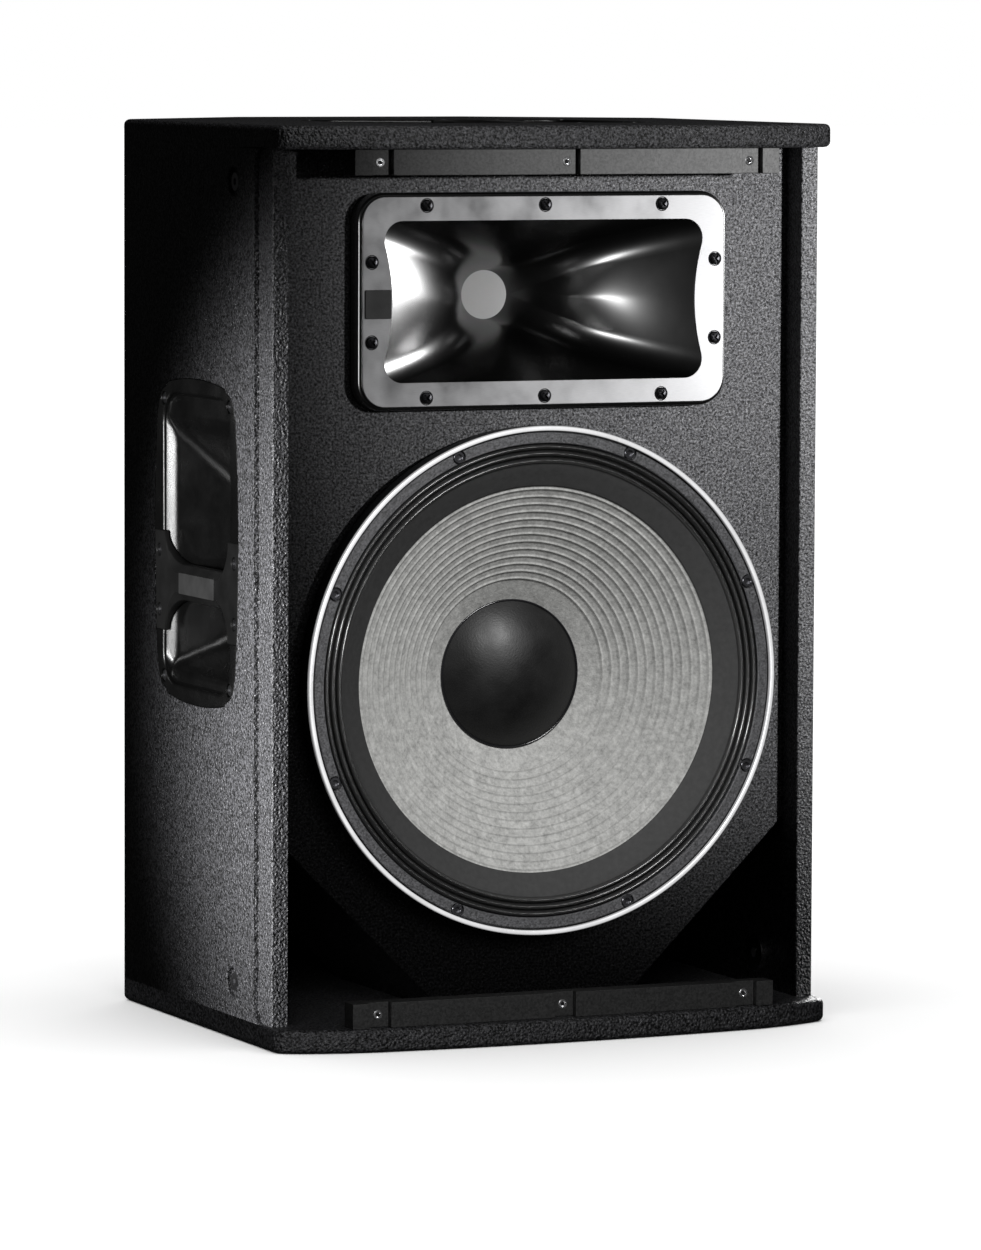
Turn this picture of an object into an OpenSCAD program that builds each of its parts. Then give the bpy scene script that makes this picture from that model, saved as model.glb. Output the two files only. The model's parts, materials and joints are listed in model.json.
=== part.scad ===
// Two-way loudspeaker cabinet with a 15 inch woofer, a horn tweeter, side and top handles,
// grille rails, suspension points, a pole socket and a rear connector panel.
// Millimetres. +Z is up, the front faces -Y, +X is to the right seen from the front.
// Drawn with y = 0 on the front edge of the side panels, then moved so that the
// origin is under the middle of the whole cabinet.

/* [Cabinet] */
// overall width
cabinet_width = 465; // [455:1:480]
// overall height
cabinet_height = 700; // [690:1:715]
// plywood thickness
board = 18; // [15:0.5:18]
// how far the side panels run back before the rear corners turn in
side_depth = 300; // [280:1:310]
// distance from the side panels' front edge to the rear face
back_depth = 398; // [385:1:410]
// width of the flat rear face
back_width = 200; // [190:1:220]
// how far the bowed edge of the top and bottom panels stands forward at the middle
bow_forward = 48; // [46:1:56]

/* [Baffle] */
// how far the baffle sits behind the side panels' front edge
baffle_set_back = 26; // [24:1:30]
// baffle thickness
baffle_board = 18; // [15:1:18]
// length of the port corner along the side and the bottom
port_leg = 139; // [125:1:145]
// port duct depth behind the baffle
port_depth = 190; // [120:5:220]

/* [Woofer] */
// height of the woofer's centre above the floor
woofer_height = 273; // [268:1:276]
// bolt circle diameter of the woofer
woofer_bolt_circle = 376; // [374:0.5:377]

/* [Horn] */
// height of the horn's centre above the floor
horn_height = 565.5; // [562:0.5:568]
// width of the horn's flange
horn_width = 309; // [306:1:311]
// height of the horn's flange
horn_tall = 165.5; // [164:0.5:167]

/* [Handles] */
// height of the side handles' centre
handle_height = 376; // [360:1:390]
// distance of every handle's centre behind the side panels' front edge
handle_back = 146; // [140:1:152]

/* [Fixing points] */
// bore of the pole socket
pole_bore = 36; // [35:0.5:38]
// distance of the suspension points from the top and the bottom
suspension_inset = 44; // [40:1:50]

/* [Hidden] */
$fn = 64;
W = cabinet_width;
H = cabinet_height;
t = board;
hw = W / 2;
iw = hw - t;
mid_y = (back_depth - bow_forward) / 2;
bb = baffle_set_back + baffle_board;
rim_step = 4;
wz = woofer_height;
wr = woofer_bolt_circle / 2;
hz = horn_height;
hy = 8.5;
bezel_inset = 3;
rail_half = 177;
rail_front = -36.5;
rail_deep = 17;
rail_tall = 19.5;
sus_y = 71;
bx = back_width / 2;
// direction of the right rear corner board and the inner ends of its mitres
cd = sqrt(pow(hw - bx, 2) + pow(back_depth - side_depth, 2));
cx = (hw - bx) / cd;
cy = (back_depth - side_depth) / cd;
ax = hw - t * cy;
ay = side_depth - t * cx;
in_y = ay + (ax - iw) / cx * cy;
in_x = ax - (back_depth - t - ay) / cy * cx;
plate_z = 200;
plate_w = 160;
plate_h = 190;
pole_y = 170;

// ---- shared helpers -------------------------------------------------------

// moves the drawing so the origin is under the middle of the cabinet
module placed() { translate([0, -mid_y, 0]) children(); }

// extrudes an x-z outline from y0 to y1
module slab_y(y0, y1) {
    translate([0, y1, 0]) rotate([90, 0, 0]) linear_extrude(y1 - y0) children();
}

// turns a list of [radius, y] points about a line along y through x = px, z = pz
module turned(pts, px, pz) {
    translate([px, 0, pz]) rotate([90, 0, 0])
        rotate_extrude($fn = 96) polygon([for (p = pts) [p[0], -p[1]]]);
}

// round bar along y
module rod_y(px, pz, y0, y1, r) {
    translate([px, y1, pz]) rotate([90, 0, 0]) cylinder(h = y1 - y0, r = r);
}

// flat ring along y
module ring_y(pz, y0, y1, r0, r1) {
    difference() {
        rod_y(0, pz, y0, y1, r1, $fn = 128);
        rod_y(0, pz, y0 - 1, y1 + 1, r0, $fn = 128);
    }
}

// rectangle with round corners, centred
module round_rect(w, h, r) {
    square([w - 2 * r, h], center = true);
    square([w, h - 2 * r], center = true);
    for (sx = [-1, 1], sy = [-1, 1])
        translate([sx * (w / 2 - r), sy * (h / 2 - r)]) circle(r);
}

// mirrored pair about x = 0
module both() { children(); mirror([1, 0, 0]) children(); }

// ---- cabinet shell --------------------------------------------------------

// front edge of the top and bottom panels: a flat bow, rounder near the ends
bow_r = 1700;
bow_x = 150;
end_r = 230;
fil = 14;
bow_a = asin(bow_x / bow_r);
end_cx = bow_x - end_r * sin(bow_a);
end_cy = -bow_forward + bow_r - (bow_r - end_r) * cos(bow_a);
fil_x = hw - fil;
fil_y = end_cy - sqrt(pow(end_r - fil, 2) - pow(fil_x - end_cx, 2));
fil_a = atan((fil_x - end_cx) / (end_cy - fil_y));
front_half = concat(
    [for (i = [0:15]) [bow_r * sin(bow_a * i / 16),
        -bow_forward + bow_r - bow_r * cos(bow_a * i / 16)]],
    [for (i = [0:11]) let (a = bow_a + (fil_a - bow_a) * i / 12)
        [end_cx + end_r * sin(a), end_cy - end_r * cos(a)]],
    [for (i = [0:10]) let (a = fil_a + (90 - fil_a) * i / 10)
        [fil_x + fil * sin(a), fil_y - fil * cos(a)]]);
front_n = len(front_half);

module deck_outline() {
    polygon(concat(
        [for (i = [front_n - 1:-1:1]) [-front_half[i][0], front_half[i][1]]],
        front_half,
        [[hw, side_depth], [bx, back_depth], [-bx, back_depth], [-hw, side_depth]]));
}

module top_panel() {
    color("#1b1b1c") placed() difference() {
        translate([0, 0, H - t]) linear_extrude(t) deck_outline();
        handle_spot("top") handle_seat();
    }
}

module bottom_panel() {
    color("#1b1b1c") placed() difference() {
        linear_extrude(t) deck_outline();
        translate([0, pole_y, -1]) cylinder(h = t + 2, r = pole_bore / 2 + 4);
        translate([0, pole_y, -1]) cylinder(h = 4, r = 47);
        pole_screw_spots() translate([0, 0, -1]) cylinder(h = 14, r = 1.9, $fn = 24);
    }
}

// right side board seen in plan, with its front rebate and handle seat
module side_panel() {
    placed() difference() {
        translate([0, 0, t]) linear_extrude(H - 2 * t)
            polygon([[iw, 0], [hw, 0], [hw, side_depth], [iw, in_y]]);
        translate([hw - rim_step, 0, 0]) rotate([90, 0, 90]) linear_extrude(rim_step + 1)
            translate([0, H / 2]) round_rect(54, H - 2 * t, 14);
        handle_spot("right") handle_seat();
        for (z = [suspension_inset, H - suspension_inset]) {
            translate([iw - 1, sus_y, z]) rotate([0, 90, 0]) cylinder(h = t + 2, r = 8);
            translate([hw - 4, sus_y, z]) rotate([0, 90, 0]) cylinder(h = 5, r = 11);
        }
    }
}

module right_side_panel() { color("#1b1b1c") side_panel(); }
module left_side_panel() { color("#1b1b1c") mirror([1, 0, 0]) side_panel(); }

module rear_corner_panel() {
    placed() translate([0, 0, t]) linear_extrude(H - 2 * t)
        polygon([[hw, side_depth], [bx, back_depth], [in_x, back_depth - t], [iw, in_y]]);
}

module rear_right_panel() { color("#1b1b1c") rear_corner_panel(); }
module rear_left_panel() { color("#1b1b1c") mirror([1, 0, 0]) rear_corner_panel(); }

module back_panel() {
    color("#1b1b1c") placed() difference() {
        translate([0, 0, t]) linear_extrude(H - 2 * t)
            polygon([[bx, back_depth], [-bx, back_depth],
                [-in_x, back_depth - t], [in_x, back_depth - t]]);
        slab_y(back_depth - 3, back_depth + 1) translate([0, plate_z]) round_rect(plate_w, plate_h, 8);
        slab_y(back_depth - t - 1, back_depth) translate([0, plate_z]) round_rect(124, 154, 8);
        plate_screw_spots() rod_y(0, 0, back_depth - 16, back_depth, 1.8, $fn = 24);
    }
}

module port_corner() {
    polygon([[iw, t], [iw, t + port_leg], [iw - port_leg, t]]);
}

module front_baffle() {
    color("#191919") placed() difference() {
        translate([-iw, baffle_set_back, t]) cube([2 * iw, baffle_board, H - 2 * t]);
        rod_y(0, wz, 0, 60, 178, $fn = 128);
        slab_y(20, 50) translate([0, hz]) round_rect(224, 120, 12);
        both() slab_y(20, 50) port_corner();
        woofer_screw_spots() rod_y(0, 0, 20, 50, 2.6, $fn = 24);
        horn_screw_spots() rod_y(0, 0, 20, 50, 2.2, $fn = 24);
    }
}

// diagonal board that closes the port duct off from the inside of the cabinet
module port_board() {
    placed() slab_y(bb, bb + port_depth)
        polygon([[iw, t + port_leg], [iw - port_leg, t],
            [iw - port_leg - 17, t], [iw, t + port_leg + 17]]);
}

module right_port_board() { color("#2a2a2b") port_board(); }
module left_port_board() { color("#2a2a2b") mirror([1, 0, 0]) port_board(); }

module brace_shelf() {
    color("#c9a878") placed() difference() {
        translate([0, 0, 463]) linear_extrude(12) polygon([
            [-150, bb], [150, bb], [150, 240], [iw, 240], [iw, in_y], [in_x, back_depth - t],
            [-in_x, back_depth - t], [-iw, in_y], [-iw, 240], [-150, 240]]);
        for (sx = [-1, 1]) translate([sx * 75, 130, 460]) cylinder(h = 20, r = 48);
        translate([0, 285, 460]) cylinder(h = 20, r = 60);
    }
}

// ---- grille rails ---------------------------------------------------------

module grille_rail(z0) {
    placed() difference() {
        translate([-rail_half, rail_front, z0]) cube([2 * rail_half, rail_deep, rail_tall]);
        for (px = [-154, 0, 154]) {
            translate([px - 8.5, rail_front - 1, z0 - 1]) cube([17, 7, rail_tall + 2]);
            rod_y(px, z0 + rail_tall / 2, rail_front, rail_front + 14.1, 2.9, $fn = 32);
        }
    }
}

module bottom_grille_rail() { color("#222222") grille_rail(t); }
module top_grille_rail() { color("#222222") grille_rail(H - t - rail_tall); }

module grille_inserts() {
    color("#c8c8c8") placed()
        for (px = [-154, 0, 154], z = [t + rail_tall / 2, H - t - rail_tall / 2])
            translate([px, rail_front + 14, z]) rotate([90, 0, 0]) difference() {
                union() {
                    cylinder(h = 8, r = 2.9, $fn = 32);
                    translate([0, 0, 8]) cylinder(h = 0.6, r = 3.6, $fn = 32);
                }
                translate([0, 0, -1]) cylinder(h = 12, r = 1.65, $fn = 32);
            }
}

// ---- woofer ---------------------------------------------------------------

module woofer_screw_spots() {
    for (i = [0:7]) translate([wr * cos(22.5 + 45 * i), 0, wz + wr * sin(22.5 + 45 * i)]) children();
}

module woofer_trim_ring() {
    color("#d0d0d0") placed() turned([[192.6, 5.2], [193.3, 4.5], [195.8, 4.5],
        [196.5, 5.2], [196.5, 22], [192.6, 22]], 0, wz);
}

// cast frame: rim, eight arms, a ledge for the suspension and a seat for the magnet
module woofer_basket() {
    color("#1a1a1a") placed() difference() {
        union() {
            turned([[183, 6.5], [192.5, 6.5], [192.5, 22], [195, 22], [195, 24], [172, 24],
                [172, 16], [180, 16], [180, 13.4], [183, 13.4]], 0, wz);
            intersection() {
                turned([[172, 23.9], [172, 19], [168, 19], [97, 104], [97, 118], [108, 118]], 0, wz);
                translate([0, 0, wz]) for (a = [0:45:135]) rotate([0, a, 0])
                    translate([-180, 0, -13]) cube([360, 130, 26]);
            }
            ring_y(wz, 104, 118, 92, 108);
            ring_y(wz, 118, 126, 70, 108);
        }
        woofer_screw_spots() rod_y(0, 0, 0, 30, 2.75, $fn = 24);
    }
}

module woofer_gasket() {
    color("#101010") placed() difference() {
        ring_y(wz, 24, 26, 178.5, 194);
        woofer_screw_spots() rod_y(0, 0, 20, 30, 2.75, $fn = 24);
    }
}

module woofer_screws() {
    color("#3a3a3c") placed() woofer_screw_spots() difference() {
        union() {
            rod_y(0, 0, 3, 6.5, 4.4, $fn = 32);
            rod_y(0, 0, 6.4, 42, 2.5, $fn = 32);
        }
        rod_y(0, 0, 2, 5.2, 2.3, $fn = 6);
    }
}

// three half-round rolls between the cone and the frame
surround_n = 36;
function roll_y(r) = 9.6 - 2.3 * cos((r - 167.1) / 15.8 * 1080);
module woofer_surround() {
    color("#0c0c0c") placed() turned(concat(
        [for (i = [0:surround_n]) let (r = 167.1 + 15.8 * i / surround_n) [r, roll_y(r)]],
        [for (i = [surround_n:-1:0]) let (r = 167.1 + 15.8 * i / surround_n) [r, roll_y(r) + 0.9]]),
        0, wz);
}

// paper cone with fine concentric ribs
function cone_y(r) = r > 151 ? 18.5 - (r - 151) * 0.62 : 18.5 + (151 - r) * 0.581;
cone_r = concat([167, 163, 159, 155], [for (i = [0:25]) 151 - i * 3], [70, 62, 56, 52]);
function rib(i) = (i < 4 || i > 29) ? 0 : (i % 2 == 0 ? 0.5 : -0.5);
module woofer_cone() {
    color("#8f8f8d") placed() turned(concat(
        [for (i = [0:len(cone_r) - 1]) [cone_r[i], cone_y(cone_r[i]) + rib(i)]],
        [[50.65, 77], [50.65, 84], [51.6, 84], [51.6, 78.5]],
        [for (i = [len(cone_r) - 1:-1:0]) [cone_r[i], cone_y(cone_r[i]) + rib(i) + 1.4]]),
        0, wz);
}

cap_r = 57.5;
cap_rise = 21;
cap_ball = (cap_r * cap_r + cap_rise * cap_rise) / (2 * cap_rise);
module dust_cap() {
    color("#111111") placed() intersection() {
        translate([0, 51 + cap_ball, wz]) rotate([90, 0, 0]) difference() {
            sphere(r = cap_ball, $fn = 128);
            sphere(r = cap_ball - 1.2, $fn = 128);
        }
        rod_y(0, wz, 50, 71.6, 57.2, $fn = 128);
    }
}

module voice_coil_former() { color("#c98d3a") placed() ring_y(wz, 79, 140, 50, 50.6); }
module voice_coil() { color("#b5651d") placed() ring_y(wz, 121, 140, 50.65, 52); }

// corrugated centring disc
spider_n = 60;
spider_wide = 46.2;
function wave_y(r) = r > 90 ? 102.9 : 102.9 - 1.6 * sin((r - 50.7) / 39.3 * 2160);
module woofer_spider() {
    color("#c79a4a") placed() turned(concat(
        [for (i = [0:spider_n]) let (r = 50.7 + spider_wide * i / spider_n) [r, wave_y(r)]],
        [for (i = [spider_n:-1:0]) let (r = 50.7 + spider_wide * i / spider_n) [r, wave_y(r) + 1]]),
        0, wz);
}

module woofer_top_plate() { color("#9a9a9c") placed() ring_y(wz, 126, 136, 53.5, 95); }
module woofer_magnet() { color("#2a2a2c") placed() ring_y(wz, 136, 164, 64, 105); }

module woofer_pole_piece() {
    color("#9a9a9c") placed() difference() {
        union() {
            rod_y(0, wz, 164, 175, 95, $fn = 128);
            rod_y(0, wz, 125, 170, 48.3, $fn = 128);
        }
        rod_y(0, wz, 120, 180, 15);
    }
}

// ---- horn and compression driver ------------------------------------------

module horn_screw_spots() {
    for (sx = [-1, 0, 1], sz = [-1, 1]) translate([sx * 98.7, 0, hz + sz * 73.1]) children();
    for (sx = [-1, 1], sz = [-1, 1]) translate([sx * 144, 0, hz + sz * 30.4]) children();
}

// mouth opening: a rounded rectangle pinched at mid height
module mouth() {
    difference() {
        round_rect(267, 123, 15);
        for (s = [-1, 1]) translate([s * 275, 0]) circle(148, $fn = 128);
    }
}

module horn_bezel() {
    color("#b9b9bb") placed() difference() {
        slab_y(hy, hy + 2) translate([0, hz]) difference() {
            round_rect(horn_width - 2 * bezel_inset, horn_tall - 2 * bezel_inset, 19);
            mouth();
        }
        horn_screw_spots() rod_y(0, 0, 0, 30, 2.4, $fn = 24);
    }
}

function flare_x(s) = 19 + 112 * s * s;
function flare_z(s) = 19 + 42 * pow(s, 1.3);
flare_y0 = hy + 2;
flare_y1 = 119;
flare_n = 10;
module flare(wall) {
    intersection() {
        translate([0, 0, hz - 90]) linear_extrude(180) polygon(concat(
            [for (i = [0:flare_n]) let (s = 1 - i / flare_n)
                [flare_x(s) + wall, flare_y0 + (flare_y1 - flare_y0) * (1 - s)]],
            [for (i = [flare_n:-1:0]) let (s = 1 - i / flare_n)
                [-flare_x(s) - wall, flare_y0 + (flare_y1 - flare_y0) * (1 - s)]]));
        translate([-150, 0, hz]) rotate([90, 0, 90]) linear_extrude(300) polygon(concat(
            [for (i = [0:flare_n]) let (s = 1 - i / flare_n)
                [flare_y0 + (flare_y1 - flare_y0) * (1 - s), flare_z(s) + wall]],
            [for (i = [flare_n:-1:0]) let (s = 1 - i / flare_n)
                [flare_y0 + (flare_y1 - flare_y0) * (1 - s), -flare_z(s) - wall]]));
    }
}

module horn_waveguide() {
    color("#0e0e0f") placed() difference() {
        union() {
            slab_y(flare_y0, 24) translate([0, hz]) round_rect(horn_width, horn_tall, 22);
            intersection() {
                flare(3);
                translate([-160, 23, hz - 90]) cube([320, 110, 180]);
            }
            rod_y(0, hz, 118, 127, 62);
        }
        flare(0);
        rod_y(0, hz, 110, 140, 19);
        horn_screw_spots() rod_y(0, 0, 0, 30, 2.4, $fn = 24);
        driver_bolt_spots() rod_y(0, 0, 110, 130, 3.1, $fn = 24);
    }
}

module horn_gasket() {
    color("#101010") placed() difference() {
        slab_y(24, 26) translate([0, hz]) difference() {
            round_rect(horn_width, horn_tall, 22);
            round_rect(236, 128, 12);
        }
        horn_screw_spots() rod_y(0, 0, 0, 30, 2.4, $fn = 24);
    }
}

module horn_screws() {
    color("#222224") placed() horn_screw_spots() difference() {
        union() {
            rod_y(0, 0, 6.3, 8.5, 4.6, $fn = 32);
            rod_y(0, 0, 8.4, 42, 2.1, $fn = 32);
        }
        translate([-2.4, 5, -0.5]) cube([4.8, 2.6, 1]);
        translate([-0.5, 5, -2.4]) cube([1, 2.6, 4.8]);
    }
}

module throat_screen() { color("#8a8a8a") placed() rod_y(0, hz, 125.6, 126.4, 18.9); }

module driver_bolt_spots() {
    for (a = [45:90:315]) translate([51 * cos(a), 0, hz + 51 * sin(a)]) children();
}

module hf_front_plate() {
    color("#9a9a9c") placed() difference() {
        ring_y(hz, 127, 137, 19, 70);
        driver_bolt_spots() rod_y(0, 0, 120, 136, 3.1, $fn = 24);
    }
}

module hf_phase_plug() {
    color("#777779") placed() difference() {
        turned([[0, 137], [20, 137], [36, 160], [36, 164.5], [0, 166.5]], 0, hz);
        turned([[6, 136], [8, 136], [17, 168], [13, 168]], 0, hz);
        turned([[13, 136], [15, 136], [30, 168], [26, 168]], 0, hz);
        rod_y(0, hz, 130, 141, 15.5);
    }
    color("#777779") placed() for (a = [0:60:120])
        translate([0, 0, hz]) rotate([0, a, 0]) translate([-27, 141.5, -1]) cube([54, 20, 2]);
}

module hf_magnet() { color("#2a2a2c") placed() ring_y(hz, 137, 160, 44, 75); }
module hf_rear_plate() { color("#9a9a9c") placed() ring_y(hz, 160, 168, 38.7, 70); }

module hf_rear_cap() {
    color("#1a1a1a") placed() turned([[0, 198], [58, 198], [62, 194], [62, 168], [57, 168],
        [57, 193], [0, 193]], 0, hz);
}

module hf_diaphragm() {
    color("#c9c9cd") placed() turned([[0, 177.5], [10, 176.9], [20, 174.9], [30, 171.4], [37.2, 168],
        [37.2, 161], [38, 161], [38, 168.6], [30.4, 172.2], [20.2, 175.8], [10, 177.9], [0, 178.5]],
        0, hz);
}

module hf_driver_bolts() {
    color("#3a3a3c") placed() driver_bolt_spots() {
        rod_y(0, 0, 113, 118, 5, $fn = 6);
        rod_y(0, 0, 117.9, 135.5, 2.95, $fn = 24);
    }
}

// ---- handles --------------------------------------------------------------

// puts a handle drawn flat (x towards the rear, y up, z outwards) on its panel
module handle_spot(side) {
    if (side == "right") translate([hw, handle_back, handle_height]) rotate([90, 0, 90]) children();
    if (side == "left") mirror([1, 0, 0])
        translate([hw, handle_back, handle_height]) rotate([90, 0, 90]) children();
    if (side == "top") translate([0, handle_back, H]) rotate([0, 0, 90]) children();
}

// barrel-shaped outline of the handle plate
module barrel(grow) {
    intersection() {
        round_rect(175 + 2 * grow, 253 + 2 * grow, 30);
        translate([87.5 - 778, 0]) circle(778 + grow, $fn = 200);
        translate([778 - 87.5, 0]) circle(778 + grow, $fn = 200);
        translate([0, 126.5 - 375]) circle(375 + grow, $fn = 200);
        translate([0, 375 - 126.5]) circle(375 + grow, $fn = 200);
    }
}

bar_v = -34;
module handle_screw_spots() {
    for (p = [[-68, 108.5], [68, 108.5], [-68, -108.5], [68, -108.5], [-78, bar_v + 23.3],
        [78, bar_v + 23.3], [-78, bar_v - 23.3], [78, bar_v - 23.3]])
        translate([p[0], p[1], 0]) children();
}

// what a panel loses to take a handle: a shallow seat, a hole and screw holes
module handle_seat() {
    translate([0, 0, -4]) linear_extrude(6) barrel(0.2);
    translate([0, 0, -t - 1]) linear_extrude(t) round_rect(146, 234, 20);
    handle_screw_spots() translate([0, 0, -17]) cylinder(h = 16, r = 2.1, $fn = 24);
}

// hand pocket: shallow at the rear, deep at the front, ends sloping in
module pocket(wall) {
    intersection() {
        translate([0, 150, 0]) rotate([90, 0, 0]) linear_extrude(300)
            polygon([[-69 - wall, 1 - wall], [69 + wall, 1 - wall], [69 + wall, -9 - wall],
                [-69 - wall, -58 - wall]]);
        translate([-100, 0, 0]) rotate([90, 0, 90]) linear_extrude(200)
            polygon([[-113 - wall, 1 - wall], [113 + wall, 1 - wall], [113 + wall, -4 - wall],
                [62 + wall, -58 - wall], [-62 - wall, -58 - wall], [-113 - wall, -4 - wall]]);
        translate([0, 0, -70]) linear_extrude(72)
            round_rect(138 + 2 * wall, 226 + 2 * wall, 24 + wall);
    }
}

// grip seen from outside: wide feet on the plate, narrow waist
module grip_outline(grow) {
    intersection() {
        translate([0, bar_v]) union() {
            square([176, 28 + 2 * grow], center = true);
            for (s = [-1, 1]) {
                translate([s * (76 - grow), 0]) square([24, 78 + 2 * grow], center = true);
                for (q = [-1, 1]) difference() {
                    translate([s * 53, q * 26]) square([24, 26], center = true);
                    translate([s * 41, q * 39]) circle(25 - grow);
                }
            }
        }
        barrel(0);
    }
}

module handle_cup() {
    difference() {
        union() {
            translate([0, 0, -4]) linear_extrude(4) barrel(0);
            pocket(3);
        }
        pocket(0);
        translate([0, 0, -4]) linear_extrude(5) translate([0, bar_v]) union() {
            translate([-81, 0]) square([25, 78.6], center = true);
            translate([81, 0]) square([25, 78.6], center = true);
        }
        handle_screw_spots() {
            translate([0, 0, -2.4]) cylinder(h = 4, r = 5.2, $fn = 32);
            translate([0, 0, -5]) cylinder(h = 6, r = 2.3, $fn = 24);
        }
    }
}

module handle_bar() {
    difference() {
        intersection() {
            translate([0, 0, -20]) linear_extrude(20) grip_outline(0);
            translate([0, 150, 0]) rotate([90, 0, 0]) linear_extrude(300)
                polygon([[-90, 0], [90, 0], [90, -4], [68.7, -4], [68.7, -7], [30, -17],
                    [-68.7, -17], [-68.7, -4], [-90, -4]]);
        }
        translate([0, bar_v, -0.6]) linear_extrude(2) square([74, 17], center = true);
        handle_screw_spots() {
            translate([0, 0, -2.4]) cylinder(h = 4, r = 5.2, $fn = 32);
            translate([0, 0, -5]) cylinder(h = 6, r = 2.3, $fn = 24);
        }
    }
}

module right_handle_cup() { color("#161617") placed() handle_spot("right") handle_cup(); }
module left_handle_cup() { color("#161617") placed() handle_spot("left") handle_cup(); }
module top_handle_cup() { color("#161617") placed() handle_spot("top") handle_cup(); }
module right_handle_bar() { color("#2c2c2e") placed() handle_spot("right") handle_bar(); }
module left_handle_bar() { color("#2c2c2e") placed() handle_spot("left") handle_bar(); }
module top_handle_bar() { color("#2c2c2e") placed() handle_spot("top") handle_bar(); }

module handle_screws() {
    color("#58585a") placed() for (side = ["left", "right", "top"]) handle_spot(side)
        handle_screw_spots() difference() {
            union() {
                translate([0, 0, -2.4]) cylinder(h = 2.1, r = 4.5, $fn = 32);
                translate([0, 0, -16]) cylinder(h = 14, r = 2, $fn = 24);
            }
            translate([-2.2, -0.5, -1.3]) cube([4.4, 1, 3]);
            translate([-0.5, -2.2, -1.3]) cube([1, 4.4, 3]);
        }
}

// ---- suspension points and pole socket ------------------------------------

module suspension_spots() {
    for (z = [suspension_inset, H - suspension_inset])
        both() translate([iw, sus_y, z]) rotate([0, 90, 0]) children();
}

module suspension_inserts() {
    color("#8d8d90") placed() suspension_spots() difference() {
        union() {
            translate([0, 0, -2]) cylinder(h = 2, r = 14);
            translate([0, 0, -0.1]) cylinder(h = 13.6, r = 7.95, $fn = 48);
        }
        translate([0, 0, -3]) cylinder(h = 20, r = 4.25, $fn = 32);
    }
}

module suspension_plugs() {
    color("#2a2a2c") placed() suspension_spots() difference() {
        union() {
            translate([0, 0, 1]) cylinder(h = 13, r = 4.2, $fn = 32);
            translate([0, 0, 13.5]) cylinder(h = 2.6, r = 7, $fn = 32);
        }
        translate([0, 0, 13.8]) cylinder(h = 4, r = 3, $fn = 6);
    }
}

module pole_screw_spots() {
    for (a = [45:90:315]) translate([38 * cos(a), pole_y + 38 * sin(a), 0]) children();
}

module pole_socket() {
    color("#1c1c1d") placed() difference() {
        union() {
            translate([0, pole_y, 0]) cylinder(h = 3, r = 46.8);
            translate([0, pole_y, 0]) cylinder(h = 92, r = pole_bore / 2 + 3.5);
        }
        translate([0, pole_y, -1]) cylinder(h = 90, r = pole_bore / 2);
        pole_screw_spots() translate([0, 0, -1]) cylinder(h = 6, r = 2.2, $fn = 24);
        pole_screw_spots() translate([0, 0, -1]) cylinder(h = 2.6, r = 4.4, $fn = 24);
    }
}

module pole_socket_screws() {
    color("#58585a") placed() pole_screw_spots() difference() {
        union() {
            translate([0, 0, 0.3]) cylinder(h = 1.3, r = 3.9, $fn = 32);
            translate([0, 0, 1.5]) cylinder(h = 11, r = 1.8, $fn = 24);
        }
        translate([-2, -0.4, -1]) cube([4, 0.8, 1.9]);
        translate([-0.4, -2, -1]) cube([0.8, 4, 1.9]);
    }
}

// ---- rear connector panel -------------------------------------------------

floor_y = back_depth - 36;
module plate_screw_spots() {
    for (sx = [-1, 1], z = [-86, 0, 86]) translate([sx * 71, 0, plate_z + z]) children();
}

module input_plate() {
    color("#202022") placed() difference() {
        union() {
            slab_y(back_depth - 3, back_depth) translate([0, plate_z]) round_rect(159.6, 189.6, 7.8);
            slab_y(floor_y - 3, back_depth - 2) translate([0, plate_z]) round_rect(120, 150, 8);
        }
        slab_y(floor_y, back_depth + 1) translate([0, plate_z]) round_rect(114, 144, 6);
        for (sx = [-1, 1]) rod_y(sx * 28, plate_z - 32, 340, 370, 12.2);
        rod_y(0, plate_z + 36, 340, 370, 4.6, $fn = 32);
        plate_screw_spots() {
            rod_y(0, 0, back_depth - 5, back_depth + 1, 2.1, $fn = 24);
            rod_y(0, 0, back_depth - 1.8, back_depth + 1, 4.2, $fn = 32);
        }
    }
}

module input_plate_screws() {
    color("#58585a") placed() plate_screw_spots() difference() {
        union() {
            rod_y(0, 0, back_depth - 1.7, back_depth - 0.2, 3.8, $fn = 32);
            rod_y(0, 0, back_depth - 14, back_depth - 1.6, 1.7, $fn = 24);
        }
        translate([-2, back_depth - 1, -0.4]) cube([4, 2, 0.8]);
        translate([-0.4, back_depth - 1, -2]) cube([0.8, 2, 4]);
    }
}

// round twist-lock loudspeaker socket with a square flange
module twist_socket(px) {
    difference() {
        union() {
            slab_y(floor_y, floor_y + 3) translate([px, plate_z - 32]) round_rect(34, 34, 4);
            rod_y(px, plate_z - 32, floor_y - 22, floor_y + 1, 12);
            rod_y(px, plate_z - 32, floor_y + 2.9, floor_y + 7, 14);
        }
        difference() {
            rod_y(px, plate_z - 32, floor_y - 16, floor_y + 9, 10.4);
            rod_y(px, plate_z - 32, floor_y - 17, floor_y + 4, 5);
            translate([px - 1.5, floor_y - 17, plate_z - 43]) cube([3, 20, 4]);
        }
        for (sx = [-1, 1]) rod_y(px + sx * 13.2, plate_z - 32 + sx * 13.2, floor_y + 1, floor_y + 5, 1.6, $fn = 24);
    }
}

module input_socket() { color("#17171a") placed() twist_socket(-28); }
module link_socket() { color("#17171a") placed() twist_socket(28); }

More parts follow.
